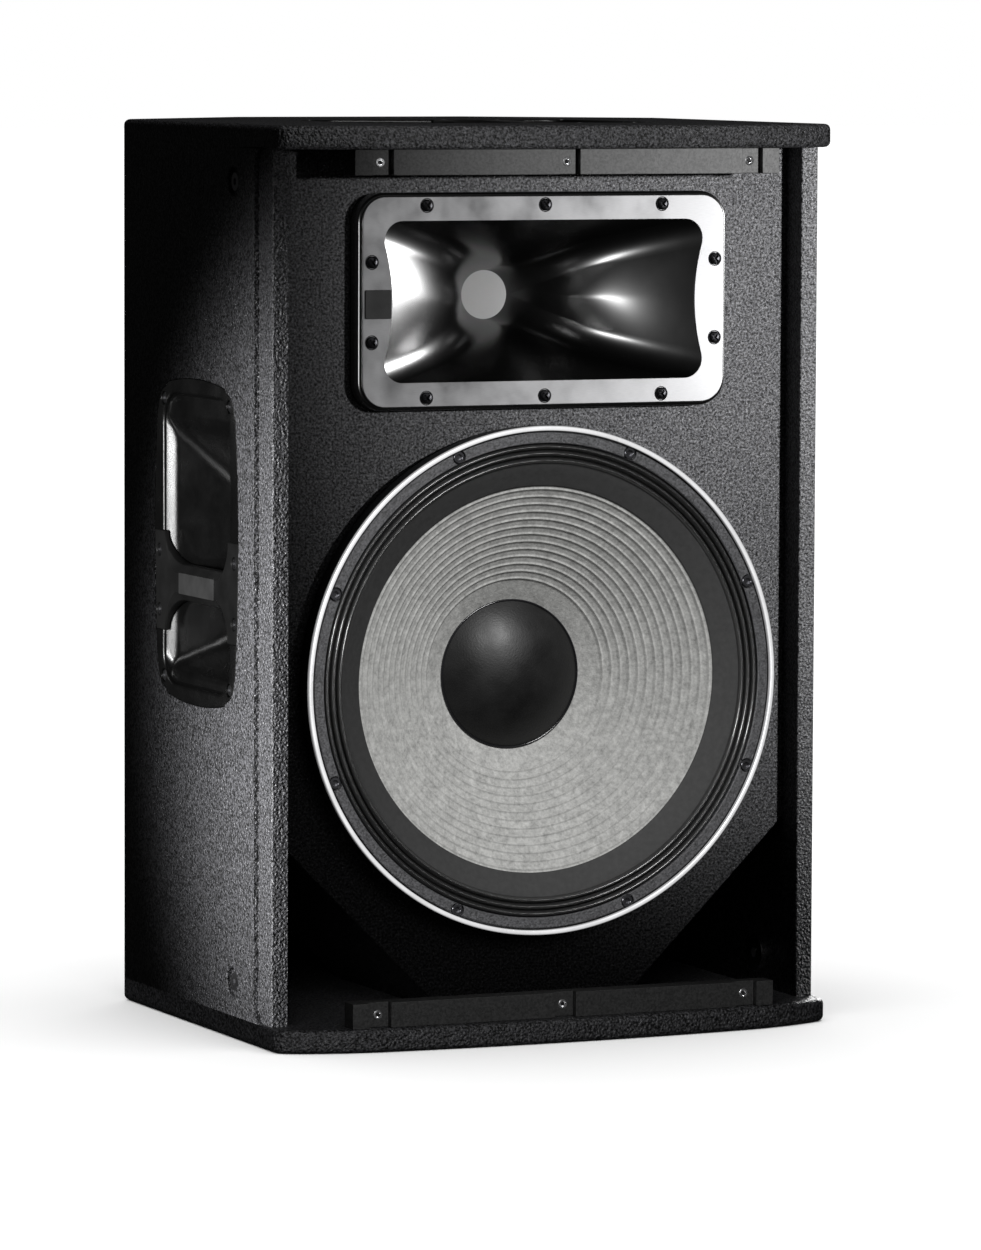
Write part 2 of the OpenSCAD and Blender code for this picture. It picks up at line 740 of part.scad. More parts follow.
module selector_switch() {
    color("#4a4a4e") placed() difference() {
        union() {
            translate([-14, floor_y - 23, plate_z + 22]) cube([28, 20, 28]);
            rod_y(0, plate_z + 36, floor_y - 3.1, floor_y + 4, 4.5, $fn = 32);
        }
        rod_y(0, plate_z + 36, floor_y - 15, floor_y + 6, 3.05, $fn = 32);
    }
}

module selector_knob() {
    color("#2b2b2e") placed() difference() {
        union() {
            rod_y(0, plate_z + 36, floor_y - 14, floor_y + 8, 3, $fn = 32);
            rod_y(0, plate_z + 36, floor_y + 5, floor_y + 18, 9, $fn = 48);
            translate([-1.5, floor_y + 5, plate_z + 36]) cube([3, 14.5, 12]);
        }
        translate([-0.5, floor_y + 18.7, plate_z + 38]) cube([1, 2, 9]);
    }
}

// ---- crossover ------------------------------------------------------------

xb_y = back_depth - t - 12;
module crossover_board() {
    color("#2f5a3a") placed() difference() {
        translate([-80, xb_y, 510]) cube([160, 2, 130]);
        for (sx = [-1, 1], z = [520, 630]) rod_y(sx * 72, z, xb_y - 1, xb_y + 3, 1.7, $fn = 24);
    }
}

module crossover_standoffs() {
    color("#b0b0b4") placed() for (sx = [-1, 1], z = [520, 630]) {
        rod_y(sx * 72, z, xb_y + 2, back_depth - t, 4, $fn = 32);
        rod_y(sx * 72, z, xb_y - 2.5, xb_y + 3, 1.6, $fn = 24);
        rod_y(sx * 72, z, xb_y - 2.5, xb_y, 3, $fn = 32);
    }
}

module crossover_inductors() {
    color("#b5651d") placed() {
        turned([[10, xb_y - 26], [27, xb_y - 26], [27, xb_y], [10, xb_y]], -42, 600);
        turned([[8, xb_y - 20], [21, xb_y - 20], [21, xb_y], [8, xb_y]], 44, 608);
    }
}

module crossover_capacitors() {
    color("#c9a13a") placed() for (p = [[-52, 540, 11], [0, 540, 9], [52, 540, 11]])
        translate([p[0] - 20, xb_y - p[2], p[1]]) rotate([0, 90, 0])
            difference() {
                cylinder(h = 40, r = p[2], $fn = 48);
                translate([-20, p[2] - 0.6, -1]) cube([40, 5, 42]);
            }
}

// ---- what is drawn --------------------------------------------------------

top_panel();
bottom_panel();
left_side_panel();
right_side_panel();
rear_left_panel();
rear_right_panel();
back_panel();
front_baffle();
left_port_board();
right_port_board();
brace_shelf();
top_grille_rail();
bottom_grille_rail();
grille_inserts();
woofer_trim_ring();
woofer_basket();
woofer_gasket();
woofer_screws();
woofer_surround();
woofer_cone();
dust_cap();
voice_coil_former();
voice_coil();
woofer_spider();
woofer_top_plate();
woofer_magnet();
woofer_pole_piece();
horn_bezel();
horn_waveguide();
horn_gasket();
horn_screws();
throat_screen();
hf_front_plate();
hf_phase_plug();
hf_magnet();
hf_rear_plate();
hf_rear_cap();
hf_diaphragm();
hf_driver_bolts();
left_handle_cup();
right_handle_cup();
top_handle_cup();
left_handle_bar();
right_handle_bar();
top_handle_bar();
handle_screws();
suspension_inserts();
suspension_plugs();
pole_socket();
pole_socket_screws();
input_plate();
input_plate_screws();
input_socket();
link_socket();
selector_switch();
selector_knob();
crossover_board();
crossover_inductors();
crossover_capacitors();
crossover_standoffs();
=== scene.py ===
# Two-way PA loudspeaker cabinet: the visible pieces, materials, light and camera
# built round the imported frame. Shapes are drawn in millimetres, +Z up, with y = 0 on
# the front edge of the side panels, and show() places them in the frame in metres.
import json
import math

import bmesh
import bpy
from mathutils import Matrix, Vector
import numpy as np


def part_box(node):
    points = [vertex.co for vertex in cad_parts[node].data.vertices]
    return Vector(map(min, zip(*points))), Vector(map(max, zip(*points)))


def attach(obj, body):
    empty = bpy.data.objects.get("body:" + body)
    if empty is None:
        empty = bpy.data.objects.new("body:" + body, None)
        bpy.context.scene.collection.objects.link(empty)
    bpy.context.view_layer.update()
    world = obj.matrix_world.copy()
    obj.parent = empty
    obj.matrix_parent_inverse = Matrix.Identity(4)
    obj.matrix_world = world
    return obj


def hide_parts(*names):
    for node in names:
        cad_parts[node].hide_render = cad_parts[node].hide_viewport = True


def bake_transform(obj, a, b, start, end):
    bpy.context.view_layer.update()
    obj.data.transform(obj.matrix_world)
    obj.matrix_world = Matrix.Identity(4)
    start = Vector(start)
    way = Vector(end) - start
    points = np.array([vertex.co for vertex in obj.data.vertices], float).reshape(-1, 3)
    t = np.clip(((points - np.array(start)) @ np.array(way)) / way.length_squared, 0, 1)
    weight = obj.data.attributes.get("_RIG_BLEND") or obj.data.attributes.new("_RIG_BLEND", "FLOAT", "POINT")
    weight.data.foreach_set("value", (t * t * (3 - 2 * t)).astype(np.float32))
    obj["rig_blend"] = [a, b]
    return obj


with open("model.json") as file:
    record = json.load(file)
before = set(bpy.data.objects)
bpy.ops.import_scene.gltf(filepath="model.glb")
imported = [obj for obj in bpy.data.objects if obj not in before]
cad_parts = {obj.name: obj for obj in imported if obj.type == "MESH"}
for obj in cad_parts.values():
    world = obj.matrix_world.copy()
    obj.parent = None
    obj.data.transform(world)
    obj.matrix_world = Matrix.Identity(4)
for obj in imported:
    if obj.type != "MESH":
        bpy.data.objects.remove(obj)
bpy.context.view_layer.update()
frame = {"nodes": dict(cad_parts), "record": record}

MM = 0.001
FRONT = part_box("right_side_panel")[0].y


def drawn(point):
    """A point of the frame in drawing millimetres."""
    return Vector((point.x / MM, (point.y - FRONT) / MM, point.z / MM))


def low_of(node):
    """Lowest corner of a CAD node."""
    return drawn(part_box(node)[0])


def high_of(node):
    """Highest corner of a CAD node."""
    return drawn(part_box(node)[1])


# ---- sizes, read from the frame -------------------------------------------
HALF_W = high_of("top_panel").x
TALL = high_of("top_panel").z
BOARD = high_of("bottom_panel").z
INNER = HALF_W - BOARD
BOW = -low_of("top_panel").y
SIDE_DEPTH = high_of("right_side_panel").y
BACK_Y = high_of("top_panel").y
BACK_HALF = high_of("back_panel").x
BAFFLE_Y = low_of("front_baffle").y
BAFFLE_BACK = high_of("front_baffle").y
RING_Y = low_of("woofer_trim_ring").y
RING_R = high_of("woofer_trim_ring").x
WOOFER_Z = (low_of("woofer_trim_ring").z + high_of("woofer_trim_ring").z) / 2
HORN_Y = low_of("horn_bezel").y
HORN_Z = (low_of("horn_bezel").z + high_of("horn_bezel").z) / 2
BEZEL_W = 2 * high_of("horn_bezel").x
BEZEL_H = high_of("horn_bezel").z - low_of("horn_bezel").z
FLANGE_W = 2 * high_of("horn_waveguide").x
FLANGE_H = high_of("horn_waveguide").z - low_of("horn_waveguide").z
POLE_Y = (low_of("pole_socket").y + high_of("pole_socket").y) / 2
POLE_FLANGE_R = high_of("pole_socket").x
SUSPENSION_Y, SUSPENSION_R, SUSPENSION_Z = 71.0, 11.0, (44.0, TALL - 44.0)
HANDLE_Y = (low_of("right_handle_cup").y + high_of("right_handle_cup").y) / 2
HANDLE_Z = (low_of("right_handle_cup").z + high_of("right_handle_cup").z) / 2

# ---- outlines -------------------------------------------------------------


def arc(cx, cy, r, start, end, count):
    """Points along an arc, angles in degrees, both ends included."""
    turn = [math.radians(start + (end - start) * i / count) for i in range(count + 1)]
    return [(cx + r * math.cos(a), cy + r * math.sin(a)) for a in turn]


def disc(r, cx=0.0, cy=0.0, count=96):
    return arc(cx, cy, r, 0, 360 - 360 / count, count - 1)


def round_rect(w, h, r, cx=0.0, cy=0.0, count=8):
    points = []
    for sx, sy, a in ((1, 1, 0), (-1, 1, 90), (-1, -1, 180), (1, -1, 270)):
        points += arc(cx + sx * (w / 2 - r), cy + sy * (h / 2 - r), r, a, a + 90, count)
    return points


def box_outline(x0, y0, x1, y1):
    return [(x0, y0), (x1, y0), (x1, y1), (x0, y1)]


# ---- solids ---------------------------------------------------------------
# An outline lies in u-v with its thickness along w; these say how u, v, w lie.
FLAT = Matrix.Identity(4)
UPRIGHT = Matrix(((1, 0, 0, 0), (0, 0, -1, 0), (0, 1, 0, 0), (0, 0, 0, 1)))
# u towards the rear, v up, w outwards through the right side
SIDEWAYS = Matrix(((0, 0, 1, 0), (1, 0, 0, 0), (0, 1, 0, 0), (0, 0, 0, 1)))


def placed(name, data):
    """A new object in the scene."""
    obj = bpy.data.objects.new(name, data)
    bpy.context.scene.collection.objects.link(obj)
    return obj


def as_object(bm, name="work"):
    mesh = bpy.data.meshes.new(name)
    bm.to_mesh(mesh)
    bm.free()
    return placed(name, mesh)


def prism(outline, low, high, place=FLAT, radius=0.0, rounded=None, steps=3):
    """Solid from an outline; edges whose middle passes rounded(u, v, w) get a radius."""
    bm = bmesh.new()
    lower = [bm.verts.new((u, v, low)) for u, v in outline]
    upper = [bm.verts.new((u, v, high)) for u, v in outline]
    bm.faces.new(list(reversed(lower)))
    bm.faces.new(upper)
    n = len(outline)
    for i in range(n):
        j = (i + 1) % n
        bm.faces.new((lower[i], lower[j], upper[j], upper[i]))
    bmesh.ops.recalc_face_normals(bm, faces=bm.faces)
    if radius:
        chosen = []
        for e in bm.edges:
            mid = (e.verts[0].co + e.verts[1].co) / 2
            if e.calc_face_angle(0) > 0.5 and (rounded is None or rounded(mid.x, mid.y, mid.z)):
                chosen.append(e)
        bmesh.ops.bevel(bm, geom=chosen, offset=radius, offset_type="OFFSET",
                        segments=steps, profile=0.5, affect="EDGES", clamp_overlap=True)
    bm.transform(place)
    return as_object(bm)


def slab(outline, y0, y1, radius=0.0, rounded=None, steps=3):
    """Prism whose outline is in x-z, from y0 back to y1."""
    return prism(outline, -y1, -y0, UPRIGHT, radius, rounded, steps)


def lathe(profile, place=FLAT, count=192):
    """Turns a closed loop of (radius, w) points about the w axis."""
    bm = bmesh.new()
    rows = []
    for k in range(count):
        a = 2 * math.pi * k / count
        rows.append([bm.verts.new((r * math.cos(a), r * math.sin(a), w)) for r, w in profile])
    m = len(profile)
    for k in range(count):
        one, two = rows[k], rows[(k + 1) % count]
        for i in range(m):
            j = (i + 1) % m
            bm.faces.new((one[i], one[j], two[j], two[i]))
    bmesh.ops.remove_doubles(bm, verts=bm.verts, dist=1e-4)
    bmesh.ops.recalc_face_normals(bm, faces=bm.faces)
    bm.transform(place)
    return as_object(bm)


def loft(sections, capped=True):
    """Skin through closed sections, each a list of 3-D points of the same length."""
    bm = bmesh.new()
    rows = [[bm.verts.new(p) for p in s] for s in sections]
    n = len(rows[0])
    for one, two in zip(rows, rows[1:]):
        for i in range(n):
            j = (i + 1) % n
            bm.faces.new((one[i], one[j], two[j], two[i]))
    if capped:
        bm.faces.new(list(reversed(rows[0])))
        bm.faces.new(rows[-1])
    bmesh.ops.recalc_face_normals(bm, faces=bm.faces)
    return as_object(bm)


def baked(obj):
    """Applies the object's modifiers to its mesh."""
    bpy.context.view_layer.update()
    graph = bpy.context.evaluated_depsgraph_get()
    mesh = bpy.data.meshes.new_from_object(obj.evaluated_get(graph))
    obj.modifiers.clear()
    old = obj.data
    obj.data = mesh
    bpy.data.meshes.remove(old)
    return obj


def carve(obj, *cutters, mode="DIFFERENCE"):
    """Cuts the cutters out of obj, or joins them to it, and removes them."""
    for cutter in cutters:
        step = obj.modifiers.new("carve", "BOOLEAN")
        step.object = cutter
        step.operation = mode
        step.solver = "EXACT"
        baked(obj)
        bpy.data.objects.remove(cutter)
    return obj


def joined(objects):
    """One object from several, each with its own transform applied."""
    bm = bmesh.new()
    for o in objects:
        mesh = o.data.copy()
        mesh.transform(o.matrix_world)
        bm.from_mesh(mesh)
        bpy.data.meshes.remove(mesh)
        bpy.data.objects.remove(o)
    return as_object(bm)


def copies(obj, places):
    """Copies of obj, one at each matrix, as one object."""
    bm = bmesh.new()
    for place in places:
        mesh = obj.data.copy()
        mesh.transform(place)
        if place.determinant() < 0:
            mesh.flip_normals()
        bm.from_mesh(mesh)
        bpy.data.meshes.remove(mesh)
    bpy.data.objects.remove(obj)
    return as_object(bm)


def show(obj, name, material, *replaced, body="cabinet", crease=35, bends=False):
    """Scales a drawing to metres, shades it, gives it its material and, unless it bends, a body, and hides
    the CAD nodes it replaces.
    """
    bm = bmesh.new()
    bm.from_mesh(obj.data)
    bm.transform(Matrix.Translation((0, FRONT, 0)) @ Matrix.Scale(MM, 4) @ obj.matrix_world)
    for e in bm.edges:
        e.smooth = e.calc_face_angle(0) < math.radians(crease)
    for f in bm.faces:
        f.smooth = True
    bm.to_mesh(obj.data)
    bm.free()
    obj.matrix_world = Matrix.Identity(4)
    obj.name = name
    obj.data.name = name
    obj.data.materials.clear()
    obj.data.materials.append(MATERIAL[material])
    normals = obj.modifiers.new("normals", "WEIGHTED_NORMAL")
    normals.keep_sharp = True
    if not bends:
        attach(obj, body)
    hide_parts(*replaced)
    return obj


# ---- materials ------------------------------------------------------------
MATERIAL = {}
BASE = {m["slot"]: m["base_color"] for m in frame["record"]["materials"]}
PART_OF = {"edge_cloth": "surround_cloth", "bead_gloss": "cap_black",
           "badge_grey": "bezel_silver", "label_grey": "grip_plastic"}


class Finish:
    """A procedural material on the principled shader, with coordinates in millimetres."""

    def __init__(self, slot, roughness, metallic=0.0, colour=None, coat=0.0, specular=0.5):
        self.material = bpy.data.materials.new(slot)
        self.material.use_nodes = True
        self.tree = self.material.node_tree
        self.shader = self.tree.nodes["Principled BSDF"]
        self.colour = tuple(colour or BASE[PART_OF.get(slot, slot)])
        self.set("Base Color", (*self.colour, 1))
        self.set("Roughness", roughness)
        self.set("Metallic", metallic)
        self.set("Coat Weight", coat)
        self.set("Coat Roughness", 0.12)
        self.set("Specular IOR Level", specular)
        place = self.node("ShaderNodeTexCoord")
        scale = self.node("ShaderNodeVectorMath", {"Scale": 1 / MM}, operation="SCALE")
        self.tree.links.new(place.outputs["Object"], scale.inputs[0])
        self.where = scale.outputs[0]
        MATERIAL[slot] = self.material

    def set(self, name, value):
        self.shader.inputs[name].default_value = value

    def node(self, kind, inputs=None, **settings):
        """A new node with its settings, and values for its inputs by name or number."""
        made = self.tree.nodes.new(kind)
        for key, value in settings.items():
            setattr(made, key, value)
        for key, value in (inputs or {}).items():
            made.inputs[key].default_value = value
        return made

    def into(self, socket, target):
        """Links a socket to a shader input or to another socket."""
        self.tree.links.new(socket, self.shader.inputs[target] if isinstance(target, str) else target)

    def squeezed(self, sx, sy, sz):
        """Coordinates scaled on each axis, for grain that runs one way."""
        node = self.node("ShaderNodeVectorMath", {1: (sx, sy, sz)}, operation="MULTIPLY")
        self.into(self.where, node.inputs[0])
        return node.outputs[0]

    def noise(self, size, detail=2.0, where=None, roughness=0.55):
        """Noise whose features are about size millimetres across."""
        node = self.node("ShaderNodeTexNoise",
                         {"Scale": 1 / size, "Detail": detail, "Roughness": roughness})
        self.into(where or self.where, node.inputs["Vector"])
        return node.outputs["Fac"]

    def cells(self, size, smooth):
        """Distance to the middle of round cells about size millimetres across."""
        node = self.node("ShaderNodeTexVoronoi", {"Scale": 1 / size}, feature="SMOOTH_F1")
        node.inputs["Smoothness"].default_value = smooth
        self.into(self.where, node.inputs["Vector"])
        return node.outputs["Distance"]

    def math(self, operation, a, b):
        node = self.node("ShaderNodeMath", operation=operation)
        for socket, value in zip(node.inputs, (a, b)):
            if isinstance(value, (int, float)):
                socket.default_value = value
            else:
                self.into(value, socket)
        return node.outputs[0]

    def ramp(self, socket, low, high, from_low=0.3, from_high=0.7):
        """Maps a 0 to 1 value to a range of numbers."""
        node = self.node("ShaderNodeMapRange", {"From Min": from_low, "From Max": from_high,
                                                "To Min": low, "To Max": high})
        self.into(socket, node.inputs["Value"])
        return node.outputs["Result"]

    def tint(self, socket, low, high, from_low=0.3, from_high=0.7):
        """Varies the base colour between two multiples of itself."""
        factor = self.ramp(socket, low, high, from_low, from_high)
        node = self.node("ShaderNodeVectorMath", {0: self.colour}, operation="SCALE")
        self.into(factor, node.inputs["Scale"])
        self.into(node.outputs[0], "Base Color")

    def bump(self, socket, depth):
        """Relief about depth millimetres high."""
        node = self.node("ShaderNodeBump", {"Strength": 1.0, "Distance": depth * MM})
        self.into(socket, node.inputs["Height"])
        self.into(node.outputs["Normal"], "Normal")


def pebble(slot, grain=2.3, depth=1.15, roughness=0.38):
    """Sprayed pebble-textured paint: round lumps of mixed size, with tone and gloss varying at random."""
    f = Finish(slot, roughness)
    lumps = f.math("SUBTRACT", 1.0, f.cells(grain, 0.4))
    fine = f.noise(grain * 0.8, 3)
    f.bump(f.math("ADD", lumps, f.math("MULTIPLY", fine, 1.4)), depth)
    f.tint(fine, 0.0, 3.2, 0.4, 0.66)
    f.into(f.ramp(fine, roughness + 0.2, roughness - 0.12), "Roughness")


def crinkle(slot, grain, depth, roughness, colour=None):
    """Fine crinkle paint."""
    f = Finish(slot, roughness, colour=colour)
    wrinkle = f.noise(grain, 3, roughness=0.7)
    f.bump(wrinkle, depth)
    f.tint(wrinkle, 0.3, 2.0, 0.36, 0.64)


def brushed(slot, roughness=0.3, along=(1, 1, 1), depth=0.02, metallic=1.0):
    """Metal with fine lines one way and broad faint patches."""
    f = Finish(slot, roughness, metallic)
    lines = f.noise(0.25, 3, f.squeezed(*along))
    clouds = f.noise(30, 3)
    f.bump(lines, depth)
    f.tint(f.math("ADD", f.math("MULTIPLY", lines, 0.5), f.math("MULTIPLY", clouds, 0.5)), 0.88, 1.08)
    f.into(f.ramp(clouds, roughness * 0.85, roughness * 1.25), "Roughness")


def moulded(slot, roughness=0.4, grain=0.35, depth=0.03, specular=0.5, colour=None, marks=0.2):
    """Moulded plastic or smooth paint with a faint grain and handling marks."""
    f = Finish(slot, roughness, colour=colour, specular=specular)
    f.bump(f.noise(grain, 2), depth)
    clouds = f.noise(22, 4)
    f.tint(clouds, 1 - marks, 1 + marks)
    f.into(f.ramp(clouds, roughness * (1 - marks * 0.75), min(1.0, roughness * (1 + marks))), "Roughness")


def cloth(slot, thread, depth, roughness, coat=0.0):
    """Woven cloth: two crossed sets of threads."""
    f = Finish(slot, roughness, coat=coat)
    ways = []
    for axis in "XZ":
        wave = f.node("ShaderNodeTexWave", {"Scale": 0.314 / thread, "Distortion": 0.6},
                      bands_direction=axis)
        f.into(f.where, wave.inputs["Vector"])
        ways.append(wave.outputs["Fac"])
    weave = f.math("MULTIPLY", *ways)
    f.bump(f.math("ADD", weave, f.math("MULTIPLY", f.noise(1.5), 0.4)), depth)
    f.tint(f.noise(4, 3), 0.75, 1.3)


def pulp(slot, roughness=0.85):
    """Felted paper: short fibres, cloudy density."""
    f = Finish(slot, roughness, specular=0.25)
    fibres = f.noise(2.4, 4, f.squeezed(1, 0.6, 1), roughness=0.7)
    clouds = f.noise(7, 3)
    f.bump(fibres, 0.4)
    f.tint(f.math("ADD", f.math("MULTIPLY", fibres, 0.6), f.math("MULTIPLY", clouds, 0.4)), 0.55, 1.4)


def grained_wood(slot):
    """Bare plywood with grain along z."""
    f = Finish(slot, 0.6)
    grain = f.noise(2.0, 5, f.squeezed(1, 1, 0.06))
    f.bump(grain, 0.08)
    f.tint(grain, 0.6, 1.3)


def mesh_cloth(slot):
    """Fine woven steel mesh."""
    f = Finish(slot, 0.42, 0.85)
    lines = []
    for way in ((1, 0, 1), (1, 0, -1)):
        dot = f.node("ShaderNodeVectorMath", {1: way}, operation="DOT_PRODUCT")
        f.into(f.where, dot.inputs[0])
        lines.append(f.math("SINE", f.math("MULTIPLY", dot.outputs["Value"], 5.5), 0))
    weave = f.math("MULTIPLY", *lines)
    f.bump(weave, 0.12)
    f.tint(weave, 0.75, 1.25, -1, 1)


def make_materials():
    pebble("painted_wood")
    crinkle("rail_paint", 1.8, 0.4, 0.62, colour=(0.014, 0.014, 0.014))
    crinkle("cast_frame", 1.5, 0.4, 0.5)
    grained_wood("raw_plywood")
    brushed("bright_steel", 0.24)
    brushed("trim_metal", 0.3, (0.2, 1, 0.2), 0.004, metallic=0.35)
    brushed("bezel_silver", 0.34, (0.05, 1, 0.6), 0.01)
    brushed("screw_black", 0.24, metallic=0.9)
    brushed("screw_grey", 0.3)
    brushed("plate_steel", 0.35)
    brushed("plug_metal", 0.35)
    brushed("diaphragm_metal", 0.2)
    cloth("surround_cloth", 0.7, 0.12, 0.3, coat=0.7)
    cloth("spider_cloth", 0.8, 0.2, 0.7)
    pulp("cone_paper")
    moulded("gasket_foam", 0.85, 0.5, 0.1)
    cloth("edge_cloth", 0.7, 0.1, 0.8)
    moulded("bead_gloss", 0.12, 0.5, 0.002)
    moulded("badge_grey", 0.4, 0.8, 0.03, colour=(0.07, 0.07, 0.07))
    moulded("label_grey", 0.4, 0.8, 0.03, colour=(0.05, 0.05, 0.05))
    moulded("cap_black", 0.46, 1.6, 0.12, specular=0.35, colour=(0.007, 0.007, 0.007))
    moulded("former_film", 0.35)
    brushed("coil_copper", 0.3, (0.1, 1, 0.1), 0.05)
    moulded("ferrite", 0.6, 1.2, 0.1)
    moulded("horn_black", 0.25, 0.6, 0.003, colour=(0.0015, 0.0015, 0.0015), marks=0.05)
    mesh_cloth("screen_mesh")
    moulded("driver_cap", 0.45)
    moulded("handle_plastic", 0.24, 0.5, 0.05, colour=(0.003, 0.003, 0.003))
    moulded("grip_plastic", 0.36, 0.5, 0.04, colour=(0.013, 0.013, 0.013))
    moulded("socket_paint", 0.4)
    crinkle("plate_paint", 0.7, 0.1, 0.42)
    moulded("connector_plastic", 0.32)
    moulded("knob_plastic", 0.4)
    moulded("board_green", 0.4)
    moulded("capacitor_film", 0.22)


def paint_cad_nodes():
    """Every CAD node takes its slot's material, whether it shows or not."""
    for row in frame["record"]["subparts"]:
        node = frame["nodes"][row["node"]]
        node.data.materials.clear()
        node.data.materials.append(MATERIAL[row["material_slot"]])


# ---- cabinet boards -------------------------------------------------------
BOARD_EDGE = 4.5
PORT_BOARD_LEG = 17
PORT_LEG = high_of("right_port_board").z - BOARD - PORT_BOARD_LEG


def deck_outline():
    """Plan of the top and bottom boards: a flat bow in front, rounder near its ends."""
    bow_r, bow_x, end_r, corner = 1700, 150, 230, 14
    bow_turn = math.asin(bow_x / bow_r)
    ex = bow_x - end_r * math.sin(bow_turn)
    ey = bow_r - BOW - (bow_r - end_r) * math.cos(bow_turn)
    fx = HALF_W - corner
    fy = ey - math.sqrt((end_r - corner) ** 2 - (fx - ex) ** 2)
    a = math.degrees(bow_turn) - 90
    b = math.degrees(math.atan((fx - ex) / (ey - fy))) - 90
    right = arc(0, bow_r - BOW, bow_r, -90, a, 16)
    right += arc(ex, ey, end_r, a, b, 16)[1:] + arc(fx, fy, corner, b, 0, 12)[1:]
    left = [(-x, y) for x, y in reversed(right[1:])]
    rear = [(HALF_W, SIDE_DEPTH), (BACK_HALF, BACK_Y), (-BACK_HALF, BACK_Y), (-HALF_W, SIDE_DEPTH)]
    return left + right + rear


def top_and_bottom():
    """The outer edge is rounded all round, the inner edge only along the bow."""
    def top_edges(u, v, w):
        return w > TALL - 1 or v < -1

    def bottom_edges(u, v, w):
        return w < 1 or v < -1

    top = prism(deck_outline(), TALL - BOARD, TALL, FLAT, BOARD_EDGE, top_edges, 4)
    hole = prism(barrel_outline(0.3), TALL - BOARD - 5, TALL + 5, handle_place("top", False))
    carve(top, hole)
    show(top, "top_board", "painted_wood", "top_panel")
    bottom = prism(deck_outline(), 0, BOARD, FLAT, BOARD_EDGE, bottom_edges, 4)
    carve(bottom, prism(disc(POLE_FLANGE_R + 0.3, 0, POLE_Y), -5, BOARD + 5))
    show(bottom, "bottom_board", "painted_wood", "bottom_panel")


def side_boards():
    """Side boards: the outer face steps in near the front, where the grille laps over."""
    step, lap, corner = 4, 27, 14
    low, high = BOARD, TALL - BOARD
    mitre_y = low_of("rear_right_panel").y
    run = Vector((HALF_W - INNER, SIDE_DEPTH - mitre_y))
    start = Vector((INNER, mitre_y)) - 3 * run
    stop = Vector((HALF_W, SIDE_DEPTH)) + 3 * run

    def front_edges(u, v, w):
        return u < 1 and abs(v - TALL / 2) < high - TALL / 2 - 1

    def step_edges(u, v, w):
        return w > HALF_W - 1 and u < lap + 1

    for sign, side in ((1, "right"), (-1, "left")):
        core = prism(box_outline(0, low, SIDE_DEPTH + 30, high), INNER, HALF_W - step,
                     SIDEWAYS, 1.2, front_edges)
        lap_line = arc(lap - corner, low + corner, corner, -90, 0, 10)
        lap_line += arc(lap - corner, high - corner, corner, 0, 90, 10)
        skin = prism(lap_line + [(SIDE_DEPTH + 30, high), (SIDE_DEPTH + 30, low)],
                     INNER + 2, HALF_W, SIDEWAYS, 1.0, step_edges)
        carve(core, skin, mode="UNION")
        mitre = prism([start, stop, stop + Vector((0, 90)), start + Vector((0, 90))], 0, TALL)
        hole = prism(barrel_outline(0.3), -BOARD - 5, 5, handle_place("right"))
        cups = [lathe([(0, -30), (8, -30), (8, -4), (SUSPENSION_R, -4), (SUSPENSION_R, -0.9),
                       (SUSPENSION_R + 1.2, 0.3), (SUSPENSION_R + 1.2, 5), (0, 5)],
                      Matrix.Translation((HALF_W, SUSPENSION_Y, z)) @ SIDEWAYS, 48)
                for z in SUSPENSION_Z]
        carve(core, mitre, hole, *cups)
        core.matrix_world = Matrix.Diagonal((sign, 1, 1, 1))
        show(core, side + "_side_board", "painted_wood", side + "_side_panel")


def baffle():
    low, high = BOARD, TALL - BOARD
    leg = PORT_LEG
    outline = [(leg - INNER, low), (INNER - leg, low), (INNER, low + leg), (INNER, high),
               (-INNER, high), (-INNER, low + leg)]

    def port_edges(u, v, w):
        return w > -BAFFLE_Y - 1 and v < low + leg - 1

    board = slab(outline, BAFFLE_Y, BAFFLE_BACK, 1.2, port_edges)
    woofer = slab(disc(179, 0, WOOFER_Z, 128), BAFFLE_Y - 5, BAFFLE_BACK + 5)
    horn = slab(round_rect(224, 118, 12, 0, HORN_Z), BAFFLE_Y - 5, BAFFLE_BACK + 5)
    carve(board, woofer, horn)
    show(board, "baffle", "painted_wood", "front_baffle")


# ---- grille rails ---------------------------------------------------------
RAIL_X = high_of("top_grille_rail").x
RAIL_Y0 = low_of("top_grille_rail").y
RAIL_Y1 = high_of("top_grille_rail").y
RAIL_TALL = high_of("top_grille_rail").z - low_of("top_grille_rail").z
INSERT_X = (-154, 0, 154)


